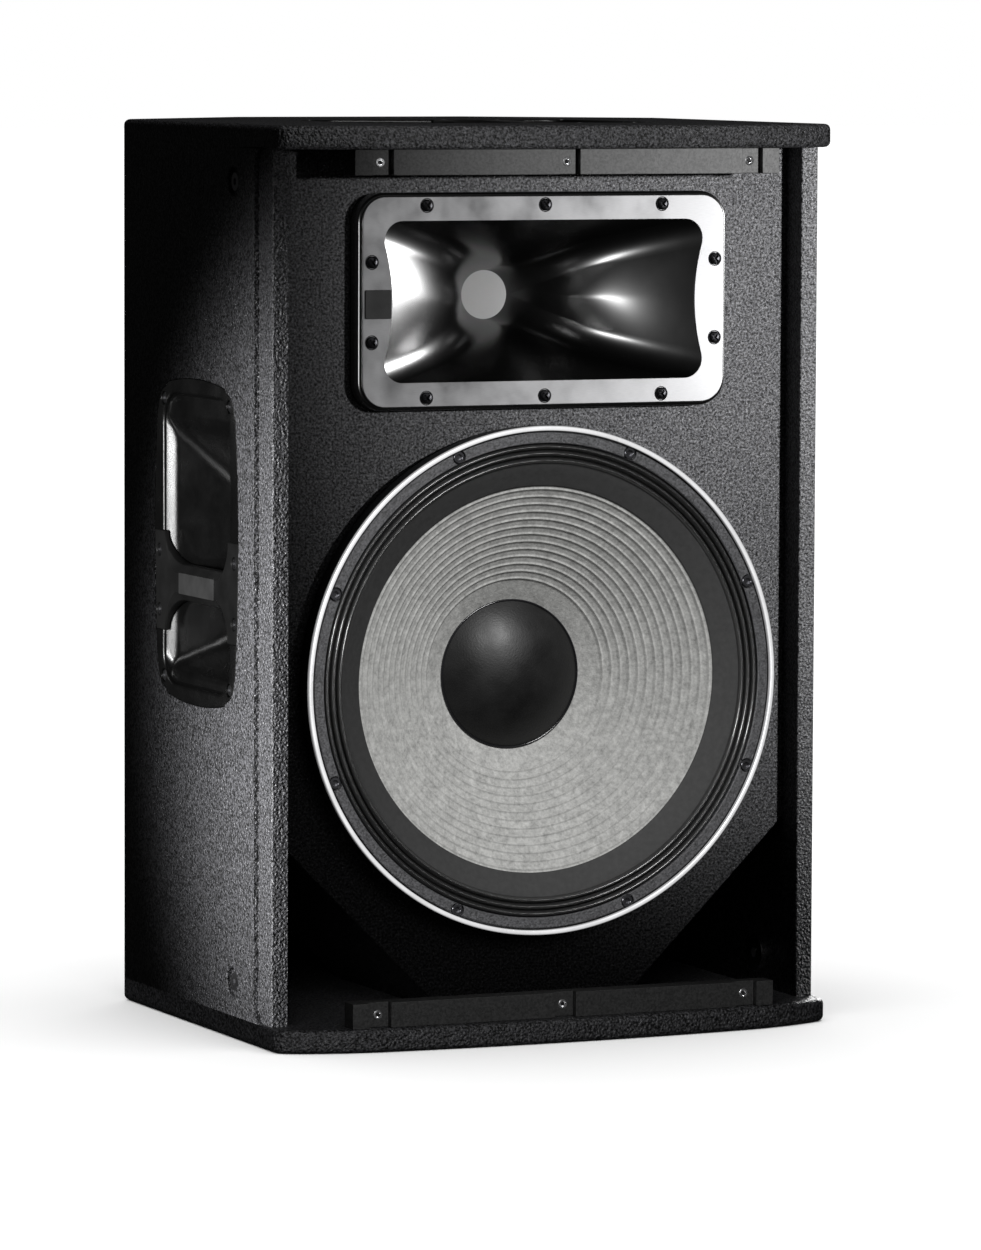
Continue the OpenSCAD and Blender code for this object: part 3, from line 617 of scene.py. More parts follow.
def grille_rails():
    """Bars with three shallow pockets, each with a bright threaded insert."""
    half, deep, bore = 8.5, 6, 2.9
    outline = [(-RAIL_X, RAIL_Y0)]
    for x in INSERT_X:
        outline += [(x - half, RAIL_Y0), (x - half, RAIL_Y0 + deep), (x + half, RAIL_Y0 + deep),
                    (x + half, RAIL_Y0)]
    outline += [(RAIL_X, RAIL_Y0), (RAIL_X, RAIL_Y1), (-RAIL_X, RAIL_Y1)]
    heights = {"bottom": BOARD, "top": TALL - BOARD - RAIL_TALL}
    for side, z in heights.items():
        rail = prism(outline, z, z + RAIL_TALL, FLAT, 0.7, None, 2)
        for x in INSERT_X:
            carve(rail, slab(disc(bore, x, z + RAIL_TALL / 2, 32), RAIL_Y0 - 2, RAIL_Y1 - 3))
        show(rail, side + "_rail", "rail_paint", side + "_grille_rail")
    face = RAIL_Y0 + deep
    ring = lathe([(1.65, -face - 8), (bore, -face - 8), (bore, -face), (3.6, -face), (3.6, 0.3 - face),
                  (3.2, 0.6 - face), (2.1, 0.6 - face), (1.65, 0.1 - face)], UPRIGHT, 40)
    places = [Matrix.Translation((x, 0, z + RAIL_TALL / 2)) for x in INSERT_X for z in heights.values()]
    show(copies(ring, places), "grille_insert_rings", "bright_steel", "grille_inserts")


# ---- woofer ---------------------------------------------------------------
SURROUND_IN = 167.0
SURROUND_OUT = 183.0
CONE_EDGE_R = 151.0
CONE_EDGE_Y = 18.5
CONE_SLOPE = 0.581
SCREW_CIRCLE = 188.0


def woofer_spots():
    return [(SCREW_CIRCLE * math.cos(math.radians(22.5 + 45 * i)),
             WOOFER_Z + SCREW_CIRCLE * math.sin(math.radians(22.5 + 45 * i))) for i in range(8)]


def turned(profile, count=256):
    """Turns (radius, y) points about the woofer's axis."""
    return lathe([(r, -y) for r, y in profile], Matrix.Translation((0, 0, WOOFER_Z)) @ UPRIGHT, count)


def woofer_frame():
    y = RING_Y
    ring = turned([(192.7, y + 3.4), (192.7, y + 1.0), (193.0, y + 0.4), (193.6, y), (195.3, y),
                   (196.0, y + 0.3), (RING_R, y + 1.1), (RING_R, y + 3.4)])
    show(ring, "woofer_bright_ring", "trim_metal", "woofer_trim_ring")
    wall = turned([(192.7, y + 3.4), (RING_R - 0.4, y + 3.4), (RING_R - 0.4, BAFFLE_Y - 4),
                   (192.7, BAFFLE_Y - 4)])
    show(wall, "woofer_ring_wall", "cast_frame", "woofer_trim_ring")
    face = y + 2
    rim = turned([(183.1, 13.2), (183.1, face + 0.8), (183.7, face), (190.6, face), (191.3, face + 0.7),
                  (191.3, face + 3), (192.5, face + 3), (192.5, BAFFLE_Y - 4), (195, BAFFLE_Y - 4),
                  (195, BAFFLE_Y - 2), (172, BAFFLE_Y - 2), (172, 16), (180, 16), (180, 13.2)])
    for x, z in woofer_spots():
        notch = slab(round_rect(11, 11, 5, x, z, 6), y - 5, face + 3)
        carve(rim, notch)
    arms = []
    for i in range(8):
        turn = Matrix.Translation((0, 0, WOOFER_Z)) @ Matrix.Rotation(math.radians(45 * i), 4, "Y")
        arms.append(prism([(172, 23.9), (172, 19), (168, 19), (97, 104), (97, 118), (108, 118)],
                          -13, 13, turn, 1.5))
    seat = turned([(92, 104), (108, 104), (108, 126), (70, 126), (70, 118), (92, 118)])
    show(joined([rim, seat] + arms), "woofer_cast_frame", "cast_frame", "woofer_basket")
    head = lathe([(0, -1.2), (2.3, -1.2), (2.3, 0.9), (2.6, 1.2), (4.0, 1.2), (4.4, 0.8), (4.4, -2.4),
                  (2.5, -2.4), (2.5, -36), (0, -36)], UPRIGHT, 32)
    places = [Matrix.Translation((x, face + 1.4, z)) for x, z in woofer_spots()]
    show(copies(head, places), "woofer_cap_screws", "screw_black", "woofer_screws")


def weighted_by_radius(obj, inner, outer):
    """Makes a ring follow the cone at its inner radius and the cabinet at its outer one.
"""
    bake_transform(obj, "cabinet", "woofer_moving", start=(0, FRONT + 0.03, 0), end=(0, FRONT - 0.03, 0))
    weights = obj.data.attributes["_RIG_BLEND"].data
    for v, w in zip(obj.data.vertices, weights):
        r = math.hypot(v.co.x / MM, v.co.z / MM - WOOFER_Z)
        t = min(1, max(0, (outer - r) / (outer - inner)))
        w.value = t * t * (3 - 2 * t)


def flexing_ring(obj, name, material, replaced, inner, outer):
    """A ring that bends between the cabinet and the cone."""
    show(obj, name, material, replaced, bends=True)
    weighted_by_radius(obj, inner, outer)


def surround():
    """Three half-round rolls of doped cloth."""
    count, rolls, rise, skin = 72, 3, 2.4, 0.9
    front, rear = [], []
    for i in range(count + 1):
        t = i / count
        r = SURROUND_IN + (SURROUND_OUT - SURROUND_IN - 0.1) * t
        y = 11.2 - 2 * rise * abs(math.sin(math.pi * rolls * t)) ** 0.8
        front.append((r, y))
        rear.append((r, y + skin))
    ring = turned(front + rear[::-1])
    flexing_ring(ring, "surround_rolls", "surround_cloth", "woofer_surround",
                 SURROUND_IN + 0.5, SURROUND_OUT - 0.6)


def spider():
    count, inner, outer = 96, 50.8, 96.8
    front, rear = [], []
    for i in range(count + 1):
        r = inner + (outer - inner) * i / count
        y = 102.9 if r > 90 else 102.9 - 1.6 * math.sin((r - inner) / 39.3 * 12 * math.pi)
        front.append((r, y))
        rear.append((r, y + 0.7))
    ring = turned(front + rear[::-1], 160)
    flexing_ring(ring, "centring_disc", "spider_cloth", "woofer_spider", inner + 2, outer - 5)


def cone():
    """Paper cone with fine raised ribs, its dark cloth edge, the dust cap and a glue bead."""
    rib_gap, rib_half, rib_rise, first_rib, last_rib = 6.0, 1.6, 0.95, 75.0, 149.0
    neck_r, step = 52.0, 0.5

    def cone_y(r):
        y = CONE_EDGE_Y + (CONE_EDGE_R - r) * CONE_SLOPE
        if first_rib - 2 < r < last_rib:
            off = abs((r - first_rib + rib_gap / 2) % rib_gap - rib_gap / 2)
            if off < rib_half:
                y -= rib_rise * 0.5 * (1 + math.cos(math.pi * off / rib_half))
        return y

    count = int((CONE_EDGE_R - neck_r) / step)
    radii = [CONE_EDGE_R - (CONE_EDGE_R - neck_r) * i / count for i in range(count + 1)]
    front = [(r, cone_y(r)) for r in radii]
    rear = [(r, CONE_EDGE_Y + (CONE_EDGE_R - r) * CONE_SLOPE + 1.4) for r in (neck_r, CONE_EDGE_R)]
    neck = [(50.7, 77.5), (50.7, 84), (51.6, 84)]
    show(turned(front + neck + rear), "paper_cone", "cone_paper", "woofer_cone", body="woofer_moving")
    edge = [(CONE_EDGE_R - 1.5, CONE_EDGE_Y + 0.3), (CONE_EDGE_R - 0.5, CONE_EDGE_Y - 0.9),
            (154, CONE_EDGE_Y - 2.2), (160, CONE_EDGE_Y - 5.6), (165, CONE_EDGE_Y - 8.0),
            (SURROUND_IN + 0.3, CONE_EDGE_Y - 8.6)]
    back = [(r, y + 1.3) for r, y in reversed(edge)]
    show(turned(edge + back), "cone_edge_cloth", "edge_cloth", "woofer_cone", body="woofer_moving",
         crease=50)
    rise, rim = 21.0, 57.2
    ball = (rim * rim + rise * rise) / (2 * rise)
    apex = low_of("dust_cap").y
    dome = []
    for i in range(25):
        a = math.asin(rim / ball) * i / 24
        dome.append((ball * math.sin(a), apex + ball * (1 - math.cos(a))))
    shell = [(r * 0.985, y + 1.1) for r, y in reversed(dome)]
    show(turned(dome + shell, 160), "dome_cap", "cap_black", "dust_cap", body="woofer_moving", crease=60)
    bead = [(rim + 0.2 + 0.9 * math.cos(a), apex + rise - 0.2 + 0.9 * math.sin(a))
            for a in (math.radians(30 * k) for k in range(12))]
    show(turned(bead, 160), "glue_bead", "bead_gloss", "dust_cap", body="woofer_moving", crease=80)


# ---- horn -----------------------------------------------------------------
MOUTH_W, MOUTH_H, MOUTH_R, MOUTH_PINCH = 267.0, 123.0, 15.0, 6.5
THROAT_R = 19.0
THROAT_Y = 124.5
SIDE_POINTS, CORNER_POINTS = 26, 10


def horn_section(half_w, half_h, r, pinch, sharp):
    """Rounded rectangle whose upright sides bulge inwards by pinch at mid height."""
    flat = half_h - r

    def side(sign, going_up):
        line = []
        for i in range(1, SIDE_POINTS):
            t = 2 * i / SIDE_POINTS - 1
            z = flat * (t if going_up else -t)
            bulge = pinch * (1 - min(1, abs(t) / 0.95) ** sharp)
            line.append((sign * (half_w - bulge), z))
        return line

    def level(sign):
        reach = half_w - r
        return [(sign * reach * (1 - 2 * i / SIDE_POINTS), sign * half_h) for i in range(1, SIDE_POINTS)]

    points = []
    for sx, sz, a, after in ((1, 1, 0, level(1)), (-1, 1, 90, side(-1, False)),
                             (-1, -1, 180, level(-1)), (1, -1, 270, side(1, True))):
        points += arc(sx * (half_w - r), sz * flat, r, a, a + 90, CORNER_POINTS) + after
    return points


def horn_mouth(grow=0.0):
    return horn_section(MOUTH_W / 2 + grow, MOUTH_H / 2 + grow, MOUTH_R, MOUTH_PINCH, 2.0)


def lifted(outline):
    """The same outline, moved up to the horn's centre."""
    return [(u, v + HORN_Z) for u, v in outline]


def horn_spots():
    spots = [(x, HORN_Z + z) for x in (-98.7, 0, 98.7) for z in (-73.1, 73.1)]
    return spots + [(x, HORN_Z + z) for x in (-144, 144) for z in (-30.4, 30.4)]


def horn():
    """Satin face plate, black flange with a rounded rim, and the flare down to the throat."""
    flange_y = HORN_Y + 2

    def front_edges(u, v, w):
        return w > -HORN_Y - 1

    plate = slab(lifted(round_rect(BEZEL_W, BEZEL_H, 19, count=14)), HORN_Y, flange_y, 0.5, front_edges, 2)
    opening = slab(lifted(horn_mouth()), HORN_Y - 3, flange_y + 3)
    sink = lathe([(0, -0.9), (4.9, -0.9), (5.8, 0.2), (5.8, 2), (0, 2)], UPRIGHT, 32)
    carve(plate, opening, copies(sink, [Matrix.Translation((x, HORN_Y, z)) for x, z in horn_spots()]))
    badge_w, badge_h = 21.5, 22.0
    pad = slab(round_rect(badge_w, badge_h, 1.0, -138.8, HORN_Z - 1.5, 4), HORN_Y - 0.9, flange_y, 0.4,
               lambda u, v, w: w > 0.4 - HORN_Y, 2)
    show(plate, "horn_face_plate", "bezel_silver", "horn_bezel")
    show(pad, "plain_badge_pad", "badge_grey", "horn_bezel")

    def rim_edges(u, v, w):
        return w > -flange_y - 1

    flange = slab(lifted(round_rect(FLANGE_W, FLANGE_H, 22, count=14)), flange_y, BAFFLE_Y - 2,
                  2.2, rim_edges, 4)
    carve(flange, slab(lifted(horn_mouth()), flange_y - 4, BAFFLE_Y + 4))
    sections = []
    steps, throat_swell, side_swell, wall_thick = 44, 62, 4.5, 3
    for i in range(steps + 1):
        s = 1 - i / steps
        half_w = THROAT_R + (MOUTH_W / 2 - THROAT_R) * s ** 2 + throat_swell * s * (1 - s) ** 3
        half_h = THROAT_R + (MOUTH_H / 2 - THROAT_R) * s ** 1.2
        r = THROAT_R + (MOUTH_R - THROAT_R) * s
        pinch = MOUTH_PINCH * s ** 1.4 + side_swell * math.sin(math.pi * s) * s ** 1.5
        sharp = 1.15 + 0.85 * s ** 3
        y = flange_y + (THROAT_Y - flange_y) * (1 - s)
        sections.append([(u, y, v + HORN_Z) for u, v in horn_section(half_w, half_h, r, pinch, sharp)])
    flare = loft(sections, capped=False)
    wall = flare.modifiers.new("wall", "SOLIDIFY")
    wall.thickness = wall_thick
    wall.offset = 1
    baked(flare)
    throat = lathe([(THROAT_R + 3.5, -121), (62, -121), (62, -127), (THROAT_R + 3.5, -127)],
                   Matrix.Translation((0, 0, HORN_Z)) @ UPRIGHT, 96)
    show(joined([flange, flare, throat]), "horn_body", "horn_black", "horn_waveguide", crease=50)
    screen = lathe([(0, -124.2), (THROAT_R + 0.6, -124.2), (THROAT_R + 0.6, -126.3), (0, -126.3)],
                   Matrix.Translation((0, 0, HORN_Z)) @ UPRIGHT, 72)
    show(screen, "throat_mesh", "screen_mesh", "throat_screen")


def cross_screw(head_r, rise, shank_r, length):
    """Pan-head screw with a cross recess, pointing along -w with its seat at w = 0."""
    slot_half, slot_reach = 0.85, 0.7
    dome = [(0, rise)]
    for i in range(1, 9):
        a = math.radians(90 - 90 * i / 8)
        dome.append((head_r * math.cos(a), rise * (0.35 + 0.65 * math.sin(a) ** 0.6)))
    screw = lathe(dome + [(head_r, 0), (shank_r, 0), (shank_r, -length), (0, -length)], FLAT, 32)
    reach = head_r * slot_reach
    for w, h in ((reach, slot_half), (slot_half, reach)):
        carve(screw, prism(box_outline(-w, -h, w, h), rise * 0.1, rise + 2))
    return screw


def horn_screws():
    screw = cross_screw(4.6, 2.2, 2.1, 34)
    turn = Matrix.Rotation(math.radians(45), 4, "Z")
    places = [Matrix.Translation((x, HORN_Y + 0.5, z)) @ UPRIGHT @ turn for x, z in horn_spots()]
    show(copies(screw, places), "horn_pan_screws", "screw_black", "horn_screws")


# ---- handles --------------------------------------------------------------
HANDLE_W, HANDLE_H, HANDLE_R = 175.0, 253.0, 17.0
HANDLE_CORNER = (62.0, 101.0)
POCKET_W, POCKET_H, POCKET_R = 138.0, 226.0, 24.0
# how far out the pocket's floor starts to rise at each end, and how steeply
UPPER_END, LOWER_END = (89, 0.66), (101, 1.0)
BAR_V = -34.0
BAR_FOOT = 39.0
BAR_WAIST = 14.0
SIDE_BOW_R, END_BOW_R = 778.0, 375.0
LABEL_W, LABEL_H = 74.0, 17.0


def handle_place(side, at_surface=True):
    """Handle drawing (u rearwards, v up, w outwards) to the left, right or top face."""
    if side == "top":
        lift = TALL if at_surface else 0
        return Matrix.Translation((0, HANDLE_Y, lift)) @ Matrix.Rotation(math.radians(90), 4, "Z")
    right = Matrix.Translation((HALF_W, HANDLE_Y, HANDLE_Z)) @ SIDEWAYS
    return right if side == "right" else Matrix.Diagonal((-1, 1, 1, 1)) @ right


def in_barrel(u, v, grow):
    """True inside the handle's outline: bowed sides and ends with round corners."""
    u, v = abs(u), abs(v)
    du, dv = u - HANDLE_CORNER[0], v - HANDLE_CORNER[1]
    if du > 0 and dv > 0 and math.hypot(du, dv) > HANDLE_R + grow:
        return False
    side = math.hypot(u + SIDE_BOW_R - HANDLE_W / 2, v) <= SIDE_BOW_R + grow
    return side and math.hypot(u, v + END_BOW_R - HANDLE_H / 2) <= END_BOW_R + grow


def barrel_point(u, v, grow):
    """Where the ray from the middle through u, v leaves the outline."""
    size = math.hypot(u, v)
    low, high = 0.0, 200.0
    for _ in range(30):
        mid = (low + high) / 2
        if in_barrel(u / size * mid, v / size * mid, grow):
            low = mid
        else:
            high = mid
    return (u / size * low, v / size * low)


def fine(outline, step):
    """The outline with its long sides divided."""
    points = []
    for a, b in zip(outline, outline[1:] + outline[:1]):
        n = max(1, int(math.dist(a, b) / step))
        points += [(a[0] + (b[0] - a[0]) * i / n, a[1] + (b[1] - a[1]) * i / n) for i in range(n)]
    return points


def pocket_outline():
    return fine(round_rect(POCKET_W, POCKET_H, POCKET_R, count=12), 4)


def barrel_outline(grow):
    return [barrel_point(u, v, grow) for u, v in pocket_outline()]


def pocket_depth(u, v):
    """Shallow at the rear, deep at the front, with ends that slope in and soft creases."""
    shallow, deepening, crease, rear_wall, rear_crease = 7, 51, 7.0, 2.6, 1.0
    floor = shallow + (POCKET_W / 2 - u) * deepening / POCKET_W
    slope_top, slope = UPPER_END if v > 0 else LOWER_END
    ends = max(4, shallow + (slope_top - abs(v)) * slope)
    depth = soft_min(floor, ends, crease)
    return soft_min(depth, rear_wall + POCKET_W / 2 - u, rear_crease)


def soft_min(a, b, soft):
    """The smaller of two heights, with the crease between them rounded."""
    h = max(0.0, soft - abs(a - b)) / soft
    return min(a, b) - h * h * soft / 4


def handle_cup():
    """Plate flush with the panel, and the hand pocket behind it."""
    wall = 2.4
    pocket = pocket_outline()
    outer = [toward(p, -wall) for p in pocket]
    edge = barrel_outline(0)
    shares = (0.012, 0.03, 0.05, 0.07, 0.09, 0.11, 0.13, 0.16, 0.2, 0.24, 0.29, 0.36, 0.44, 0.52,
              0.6, 0.7, 0.8, 0.9, 0.97)
    rings = [[floor_point(p, q, share, wall) for p, q in zip(pocket, outer)] for share in reversed(shares)]
    rings.append([(*q, -max(5.2, pocket_depth(*p) + 0.5)) for p, q in zip(pocket, outer)])
    rings.append([(*q, -4.0) for q in outer])
    for inset, w in ((0, -4), (0, -0.9), (0.25, -0.25), (0.9, 0)):
        rings.append([(*toward(p, inset), w) for p in edge])
    for inset, w in ((-2.6, 0), (-1.4, -0.3), (-0.4, -1.2), (0, -2.6)):
        rings.append([(*toward(p, inset), w) for p in pocket])
    rings.append([(*p, -max(2.7, pocket_depth(*p) - 2.5)) for p in pocket])
    rings += [[floor_point(p, p, share, 0) for p in pocket] for share in shares]
    return loft(rings)


def toward(point, distance):
    """Moves a point towards the middle of the handle."""
    size = math.hypot(*point)
    return (point[0] * (1 - distance / size), point[1] * (1 - distance / size))


def floor_point(point, outer, share, thick):
    """A point of the pocket's floor, a share of the way from its wall to the middle."""
    u, v = (c * (1 - share) for c in point)
    return (*(c * (1 - share) for c in outer), -pocket_depth(u, v) - thick)


def bar_half(u):
    """Half height of the grip: narrow waist, round flares, wide feet."""
    straight, flare = 41.0, BAR_FOOT - BAR_WAIST
    u = abs(u)
    if u < straight:
        return BAR_WAIST
    if u < straight + flare:
        return BAR_FOOT - math.sqrt(max(0.0, flare ** 2 - (u - straight) ** 2))
    return BAR_FOOT


def handle_bar():
    """Grip lofted along u: chamfered waist, thick in the middle, thin feet on the plate."""
    stations = [0, 12, 24, 34, 39] + [41 + 25 * math.sin(math.radians(a)) for a in range(0, 91, 6)]
    stations += [67.5, 70, 76, 82, 86.4, 87.2]
    foot_from, foot_run, end_from, end_drop = 44, 22, 87, 0.6
    waist_chamfer, foot_chamfer, waist_deep, foot_deep, most_belly = 6.5, 0.7, 19, 4.0, 6.0
    sections = []
    for u in [-s for s in reversed(stations[1:])] + stations:
        half = bar_half(u)
        foot = min(1.0, max(0.0, (abs(u) - foot_from) / foot_run))
        chamfer = waist_chamfer * (1 - foot) + foot_chamfer * foot
        deep = waist_deep * (1 - foot ** 2) + foot_deep * foot ** 2
        drop = 0.0 if abs(u) < end_from else end_drop
        belly = min(most_belly, deep / 2)
        line = [(-half + chamfer, -drop), (half - chamfer, -drop), (half - chamfer * 0.12, -chamfer * 0.86),
                (half, -chamfer - 0.3 if chamfer > 2 else -1.2)]
        line += [(half, -max(deep - belly, chamfer + 0.5)), (half - belly * 0.3, -deep + belly * 0.3),
                 (half - belly, -deep), (-half + belly, -deep), (-half + belly * 0.3, -deep + belly * 0.3),
                 (-half, -max(deep - belly, chamfer + 0.5))]
        line += [(-half, -chamfer - 0.3 if chamfer > 2 else -1.2),
                 (-half + chamfer * 0.12, -chamfer * 0.86)]
        sections.append([(bowed_u(u, v + BAR_V), v + BAR_V, w) for v, w in line])
    bar = loft(sections)
    carve(bar, prism(round_rect(LABEL_W, LABEL_H, 1.2, 0, BAR_V, 4), -0.7, 3))
    return bar


def bowed_u(u, v):
    """Stretches the grip's feet so that they end on the outline's bowed side at height v."""
    straight = 60
    if abs(u) <= straight:
        return u
    reach = math.sqrt(SIDE_BOW_R ** 2 - v * v) - SIDE_BOW_R + HANDLE_W / 2
    share = (abs(u) - straight) / (HANDLE_W / 2 - straight)
    return math.copysign(straight + share * (reach - straight), u)


def handle_spots():
    spots = [(u, v) for u in (-68, 68) for v in (-108.5, 108.5)]
    return spots + [(u, BAR_V + v) for u in (-78, 78) for v in (-23.3, 23.3)]


def handles():
    cup, bar = handle_cup(), handle_bar()
    for sign in (-1, 1):
        near, far = sorted((sign * 67.6, sign * 95))
        foot = box_outline(near, BAR_V - BAR_FOOT - 0.35, far, BAR_V + BAR_FOOT + 0.35)
        carve(cup, prism(foot, -4.2, 3))
    for u, v in handle_spots():
        sink = lathe([(0, -2.3), (5.2, -2.3), (5.2, -0.4), (5.7, 0.2), (5.7, 3), (0, 3)],
                     Matrix.Translation((u, v, 0)), 28)
        target = cup if (u, v) in handle_spots()[:4] else bar
        carve(target, sink)
    places = {side: handle_place(side) for side in ("left", "right", "top")}
    screw = cross_screw(4.4, 2.0, 2, 12)
    spots = [place @ Matrix.Translation((u, v, -2.3))
             for place in places.values() for u, v in handle_spots()]
    show(copies(screw, spots), "handle_pan_screws", "screw_grey", "handle_screws")
    label = prism(round_rect(LABEL_W - 0.6, LABEL_H - 0.6, 1.0, 0, BAR_V, 4), -0.6, 0.1, FLAT, 0.35,
                  lambda u, v, w: w > 0, 2)
    show(copies(label, places.values()), "plain_grip_labels", "label_grey",
         "left_handle_bar", "right_handle_bar", "top_handle_bar")
    for side, place in places.items():
        for kind, source, material in (("cup", cup, "handle_plastic"), ("bar", bar, "grip_plastic")):
            piece = placed("work", source.data.copy())
            node = side + "_handle_" + kind
            show(copies(piece, [place]), node + "_moulding", material, node, crease=40)
    for source in (cup, bar):
        bpy.data.objects.remove(source)


# ---- camera, light and floor ----------------------------------------------


def make_camera():
    """Viewpoint to the left of the cabinet, a little above its top."""
    camera = bpy.data.cameras.new("camera")
    camera.lens = 200.17
    camera.sensor_width = 36.0
    camera.clip_end = 100
    obj = placed("camera", camera)
    yaw, down, roll = (math.radians(a) for a in (24.032, 5.003, -0.238))
    forward = Vector((math.sin(yaw) * math.cos(down), math.cos(yaw) * math.cos(down), -math.sin(down)))
    obj.location = (-2.20319, -4.83260 + FRONT, 0.78154)
    obj.rotation_mode = "QUATERNION"
    turn = forward.to_track_quat("-Z", "Y")
    obj.rotation_quaternion = turn @ Matrix.Rotation(-roll, 4, "Z").to_quaternion()
    bpy.context.scene.camera = obj


def aimed(light, name, place, aim, receivers=None):
    """Places a light; with receivers it lights only those pieces."""
    obj = placed(name, light)
    obj.location = place
    obj.rotation_euler = (Vector(aim) - Vector(place)).to_track_quat("-Z", "Z").to_euler()
    obj.visible_camera = False
    if receivers:
        group = bpy.data.collections.new(name + "_receivers")
        for piece in receivers:
            group.objects.link(bpy.data.objects[piece])
        obj.light_linking.receiver_collection = group
    return obj


def area_light(name, place, aim, width, height, power, receivers=None):
    light = bpy.data.lights.new(name, "AREA")
    light.shape = "RECTANGLE"
    light.size = width
    light.size_y = height
    light.energy = power
    return aimed(light, name, place, aim, receivers)


def spot_light(name, place, aim, angle, power, radius, receivers):
    """A beam that fades smoothly from its axis to half of angle degrees."""
    light = bpy.data.lights.new(name, "SPOT")
    light.spot_size = math.radians(angle)
    light.spot_blend = 1.0
    light.shadow_soft_size = radius
    light.energy = power
    return aimed(light, name, place, aim, receivers)


LEFT = ("left_side_board", "suspension_plugs", "suspension_inserts")
CUPS = ("left_handle_cup_moulding", "left_handle_bar_moulding", "handle_pan_screws",
        "plain_grip_labels")
RIM = ("surround_rolls", "woofer_cast_frame", "cone_edge_cloth", "woofer_cap_screws")
RIGHT = ("right_side_board", "right_handle_cup_moulding", "right_handle_bar_moulding",
         "handle_pan_screws", "plain_grip_labels", "suspension_plugs", "suspension_inserts")
TOP = ("top_board", "top_handle_cup_moulding", "top_handle_bar_moulding", "plain_grip_labels",
       "handle_pan_screws")
REAR = ("back_panel", "rear_left_panel", "rear_right_panel", "input_plate", "input_socket",
        "link_socket", "selector_switch", "selector_knob", "input_plate_screws")
WOOFER = ("paper_cone", "dome_cap", "glue_bead", "cone_edge_cloth", "surround_rolls",
          "woofer_cast_frame", "woofer_cap_screws")
HORN = ("horn_body", "throat_mesh")
FACE = ("horn_face_plate", "plain_badge_pad", "horn_pan_screws")
RING = ("woofer_bright_ring", "grille_insert_rings", "woofer_cap_screws")
FRONT_BOARDS = ("baffle", "right_side_board", "top_rail", "bottom_rail", "woofer_ring_wall",
                "left_side_board", "left_port_board", "right_port_board")


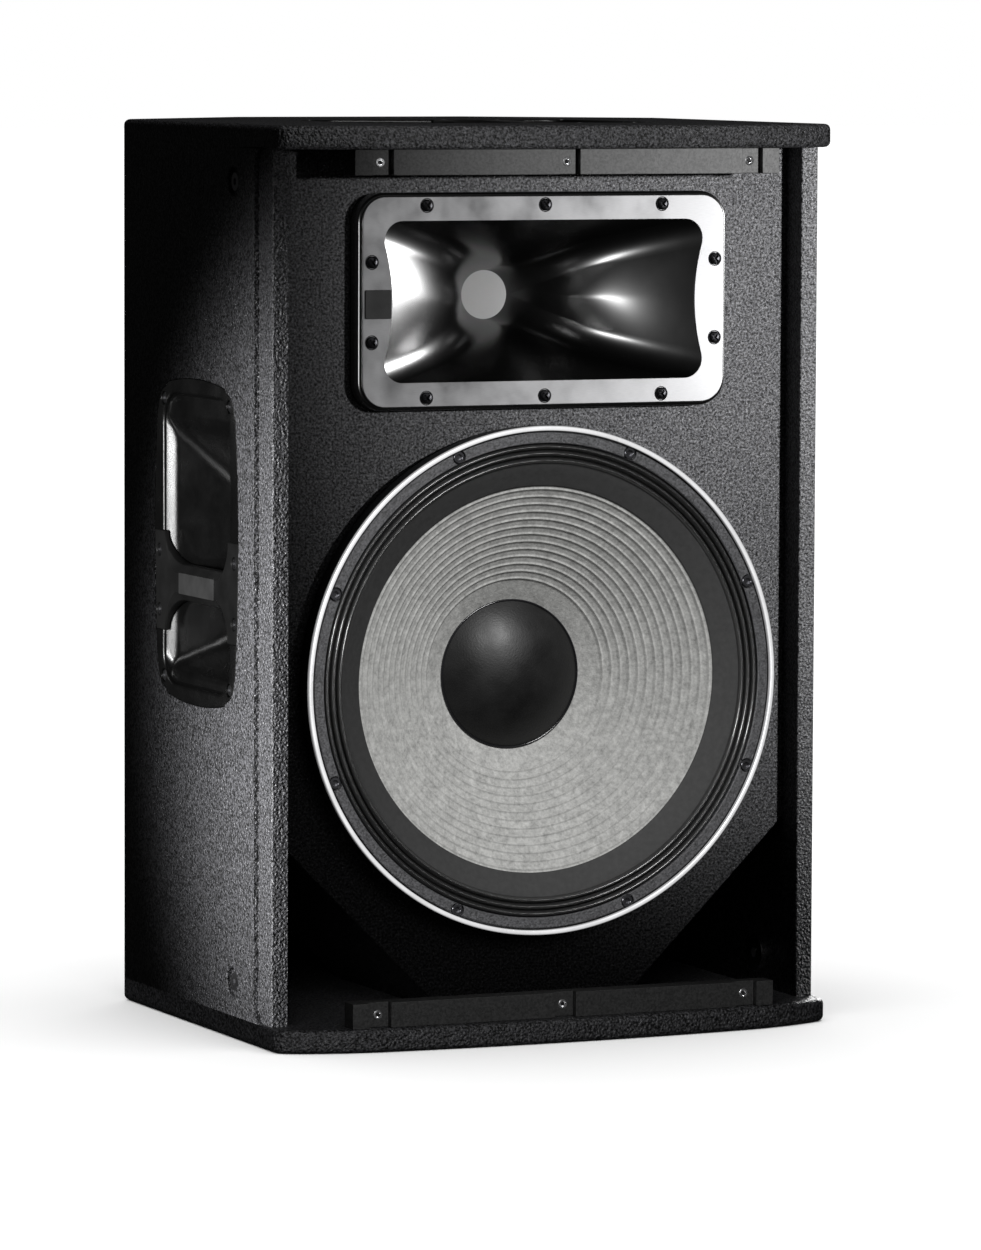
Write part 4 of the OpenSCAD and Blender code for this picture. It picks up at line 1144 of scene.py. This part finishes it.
def make_light():
    """Hard beams that graze the paint and soft lights, most of them linked to a few pieces."""
    scene = bpy.context.scene
    scene.view_settings.view_transform = "Standard"
    scene.view_settings.look = "None"
    middle = (0, 0, 0.36)
    key_place, horn_middle, woofer_middle = (0.66, -2.5, 0.8), (0, -0.1, 0.565), (0, -0.1, 0.27)
    area_light("fill", (0.6, -3.6, 1.8), middle, 2.4, 1.6, 5)
    spot_light("key", key_place, (0.29, -0.15, 0.57), 25, 530, 0.05, FRONT_BOARDS)
    spot_light("key_core", key_place, (0.21, -0.15, 0.59), 10, 190, 0.05, FRONT_BOARDS)
    spot_light("bow", (0.7, -2.4, 0.12), (0.12, -0.2, 0.67), 20, 170, 0.06, ("top_board",))
    area_light("low_front", (-1.1, -2.0, 1.0), (0, -0.2, 0.03), 1.6, 1.0, 26, ("bottom_board",))
    area_light("low_rail", (-0.4, -2.2, 0.9), (0, -0.2, 0.03), 0.5, 0.5, 22, ("bottom_rail",))
    spot_light("left_beam", (-3.0, -1.05, 0.5), (-0.2325, -0.36, 0.27), 16.8, 2250, 0.06, LEFT)
    area_light("handle_glint", (-2.5, -1.1, 0.5), (-0.2, 0, 0.376), 0.5, 0.6, 85, CUPS)
    for z, aim_z in ((0.205, 0.45), (0.471, 0.29)):
        area_light("pocket_crease", (-0.637, 0.382, z), (-0.2325, -0.03, aim_z), 0.06, 0.1, 0.11,
                   ("left_handle_cup_moulding",))
    area_light("woofer_soft", (0.1, -2.2, 1.8), woofer_middle, 1.0, 0.8, 86, WOOFER)
    area_light("woofer_left", (-2.2, -1.5, 0.8), woofer_middle, 0.2, 1.0, 60, RIM)
    area_light("horn_right", (2.2, -0.85, 0.75), (0, -0.15, 0.565), 0.45, 0.9, 120, HORN)
    area_light("horn_left", (-1.9, -1.7, 0.4), horn_middle, 0.18, 0.7, 62, HORN)
    area_light("throat", (-0.5, -1.6, 0.66), (0, 0, 0.565), 0.2, 0.2, 34, ("throat_mesh",))
    area_light("face_right", (0.79, -0.88, 0.57), (0.1, -0.15, 0.565), 0.22, 0.45, 4.3, FACE)
    area_light("ring_front", (-0.6, -2.4, 1.0), (0, -0.15, 0.3), 1.0, 1.0, 90, RING)
    area_light("right_soft", (2.8, -0.7, 1.0), middle, 0.8, 1.4, 60, RIGHT)
    area_light("top_soft", (0.4, -0.9, 2.6), (0, 0, 0.7), 0.8, 0.8, 16, TOP)
    area_light("rear_left", (-1.8, 2.6, 1.4), middle, 0.8, 1.4, 110, REAR)
    area_light("rear_right", (2.2, 2.4, 1.2), middle, 0.8, 1.4, 80, REAR + ("bottom_board",))
    world = bpy.data.worlds.new("studio")
    scene.world = world
    world.use_nodes = True
    tree = world.node_tree
    background = tree.nodes["Background"]
    path = tree.nodes.new("ShaderNodeLightPath")
    mix = tree.nodes.new("ShaderNodeMix")
    mix.data_type = "RGBA"
    mix.inputs["A"].default_value = (0.012, 0.012, 0.012, 1)
    mix.inputs["B"].default_value = (1, 1, 1, 1)
    tree.links.new(path.outputs["Is Camera Ray"], mix.inputs["Factor"])
    tree.links.new(mix.outputs["Result"], background.inputs["Color"])


def make_floor():
    """White floor, lit by a wide sun of its own so that only contact shadows show."""
    bm = bmesh.new()
    bmesh.ops.create_grid(bm, x_segments=1, y_segments=1, size=40)
    floor = as_object(bm, "floor")
    material = bpy.data.materials.new("floor_white")
    material.use_nodes = True
    shader = material.node_tree.nodes["Principled BSDF"]
    shader.inputs["Base Color"].default_value = (0.9, 0.9, 0.9, 1)
    shader.inputs["Roughness"].default_value = 0.9
    shader.inputs["Specular IOR Level"].default_value = 0.0
    floor.data.materials.append(material)
    floor.visible_glossy = False
    floor.visible_diffuse = False
    only_floor = bpy.data.collections.new("only_floor")
    only_floor.objects.link(floor)
    sun = bpy.data.lights.new("floor_sun", "SUN")
    sun.energy = 4.2
    sun.angle = math.radians(120)
    placed("floor_sun", sun).light_linking.receiver_collection = only_floor


make_materials()
paint_cad_nodes()
top_and_bottom()
side_boards()
baffle()
grille_rails()
woofer_frame()
surround()
spider()
cone()
horn()
horn_screws()
handles()
make_camera()
make_light()
make_floor()
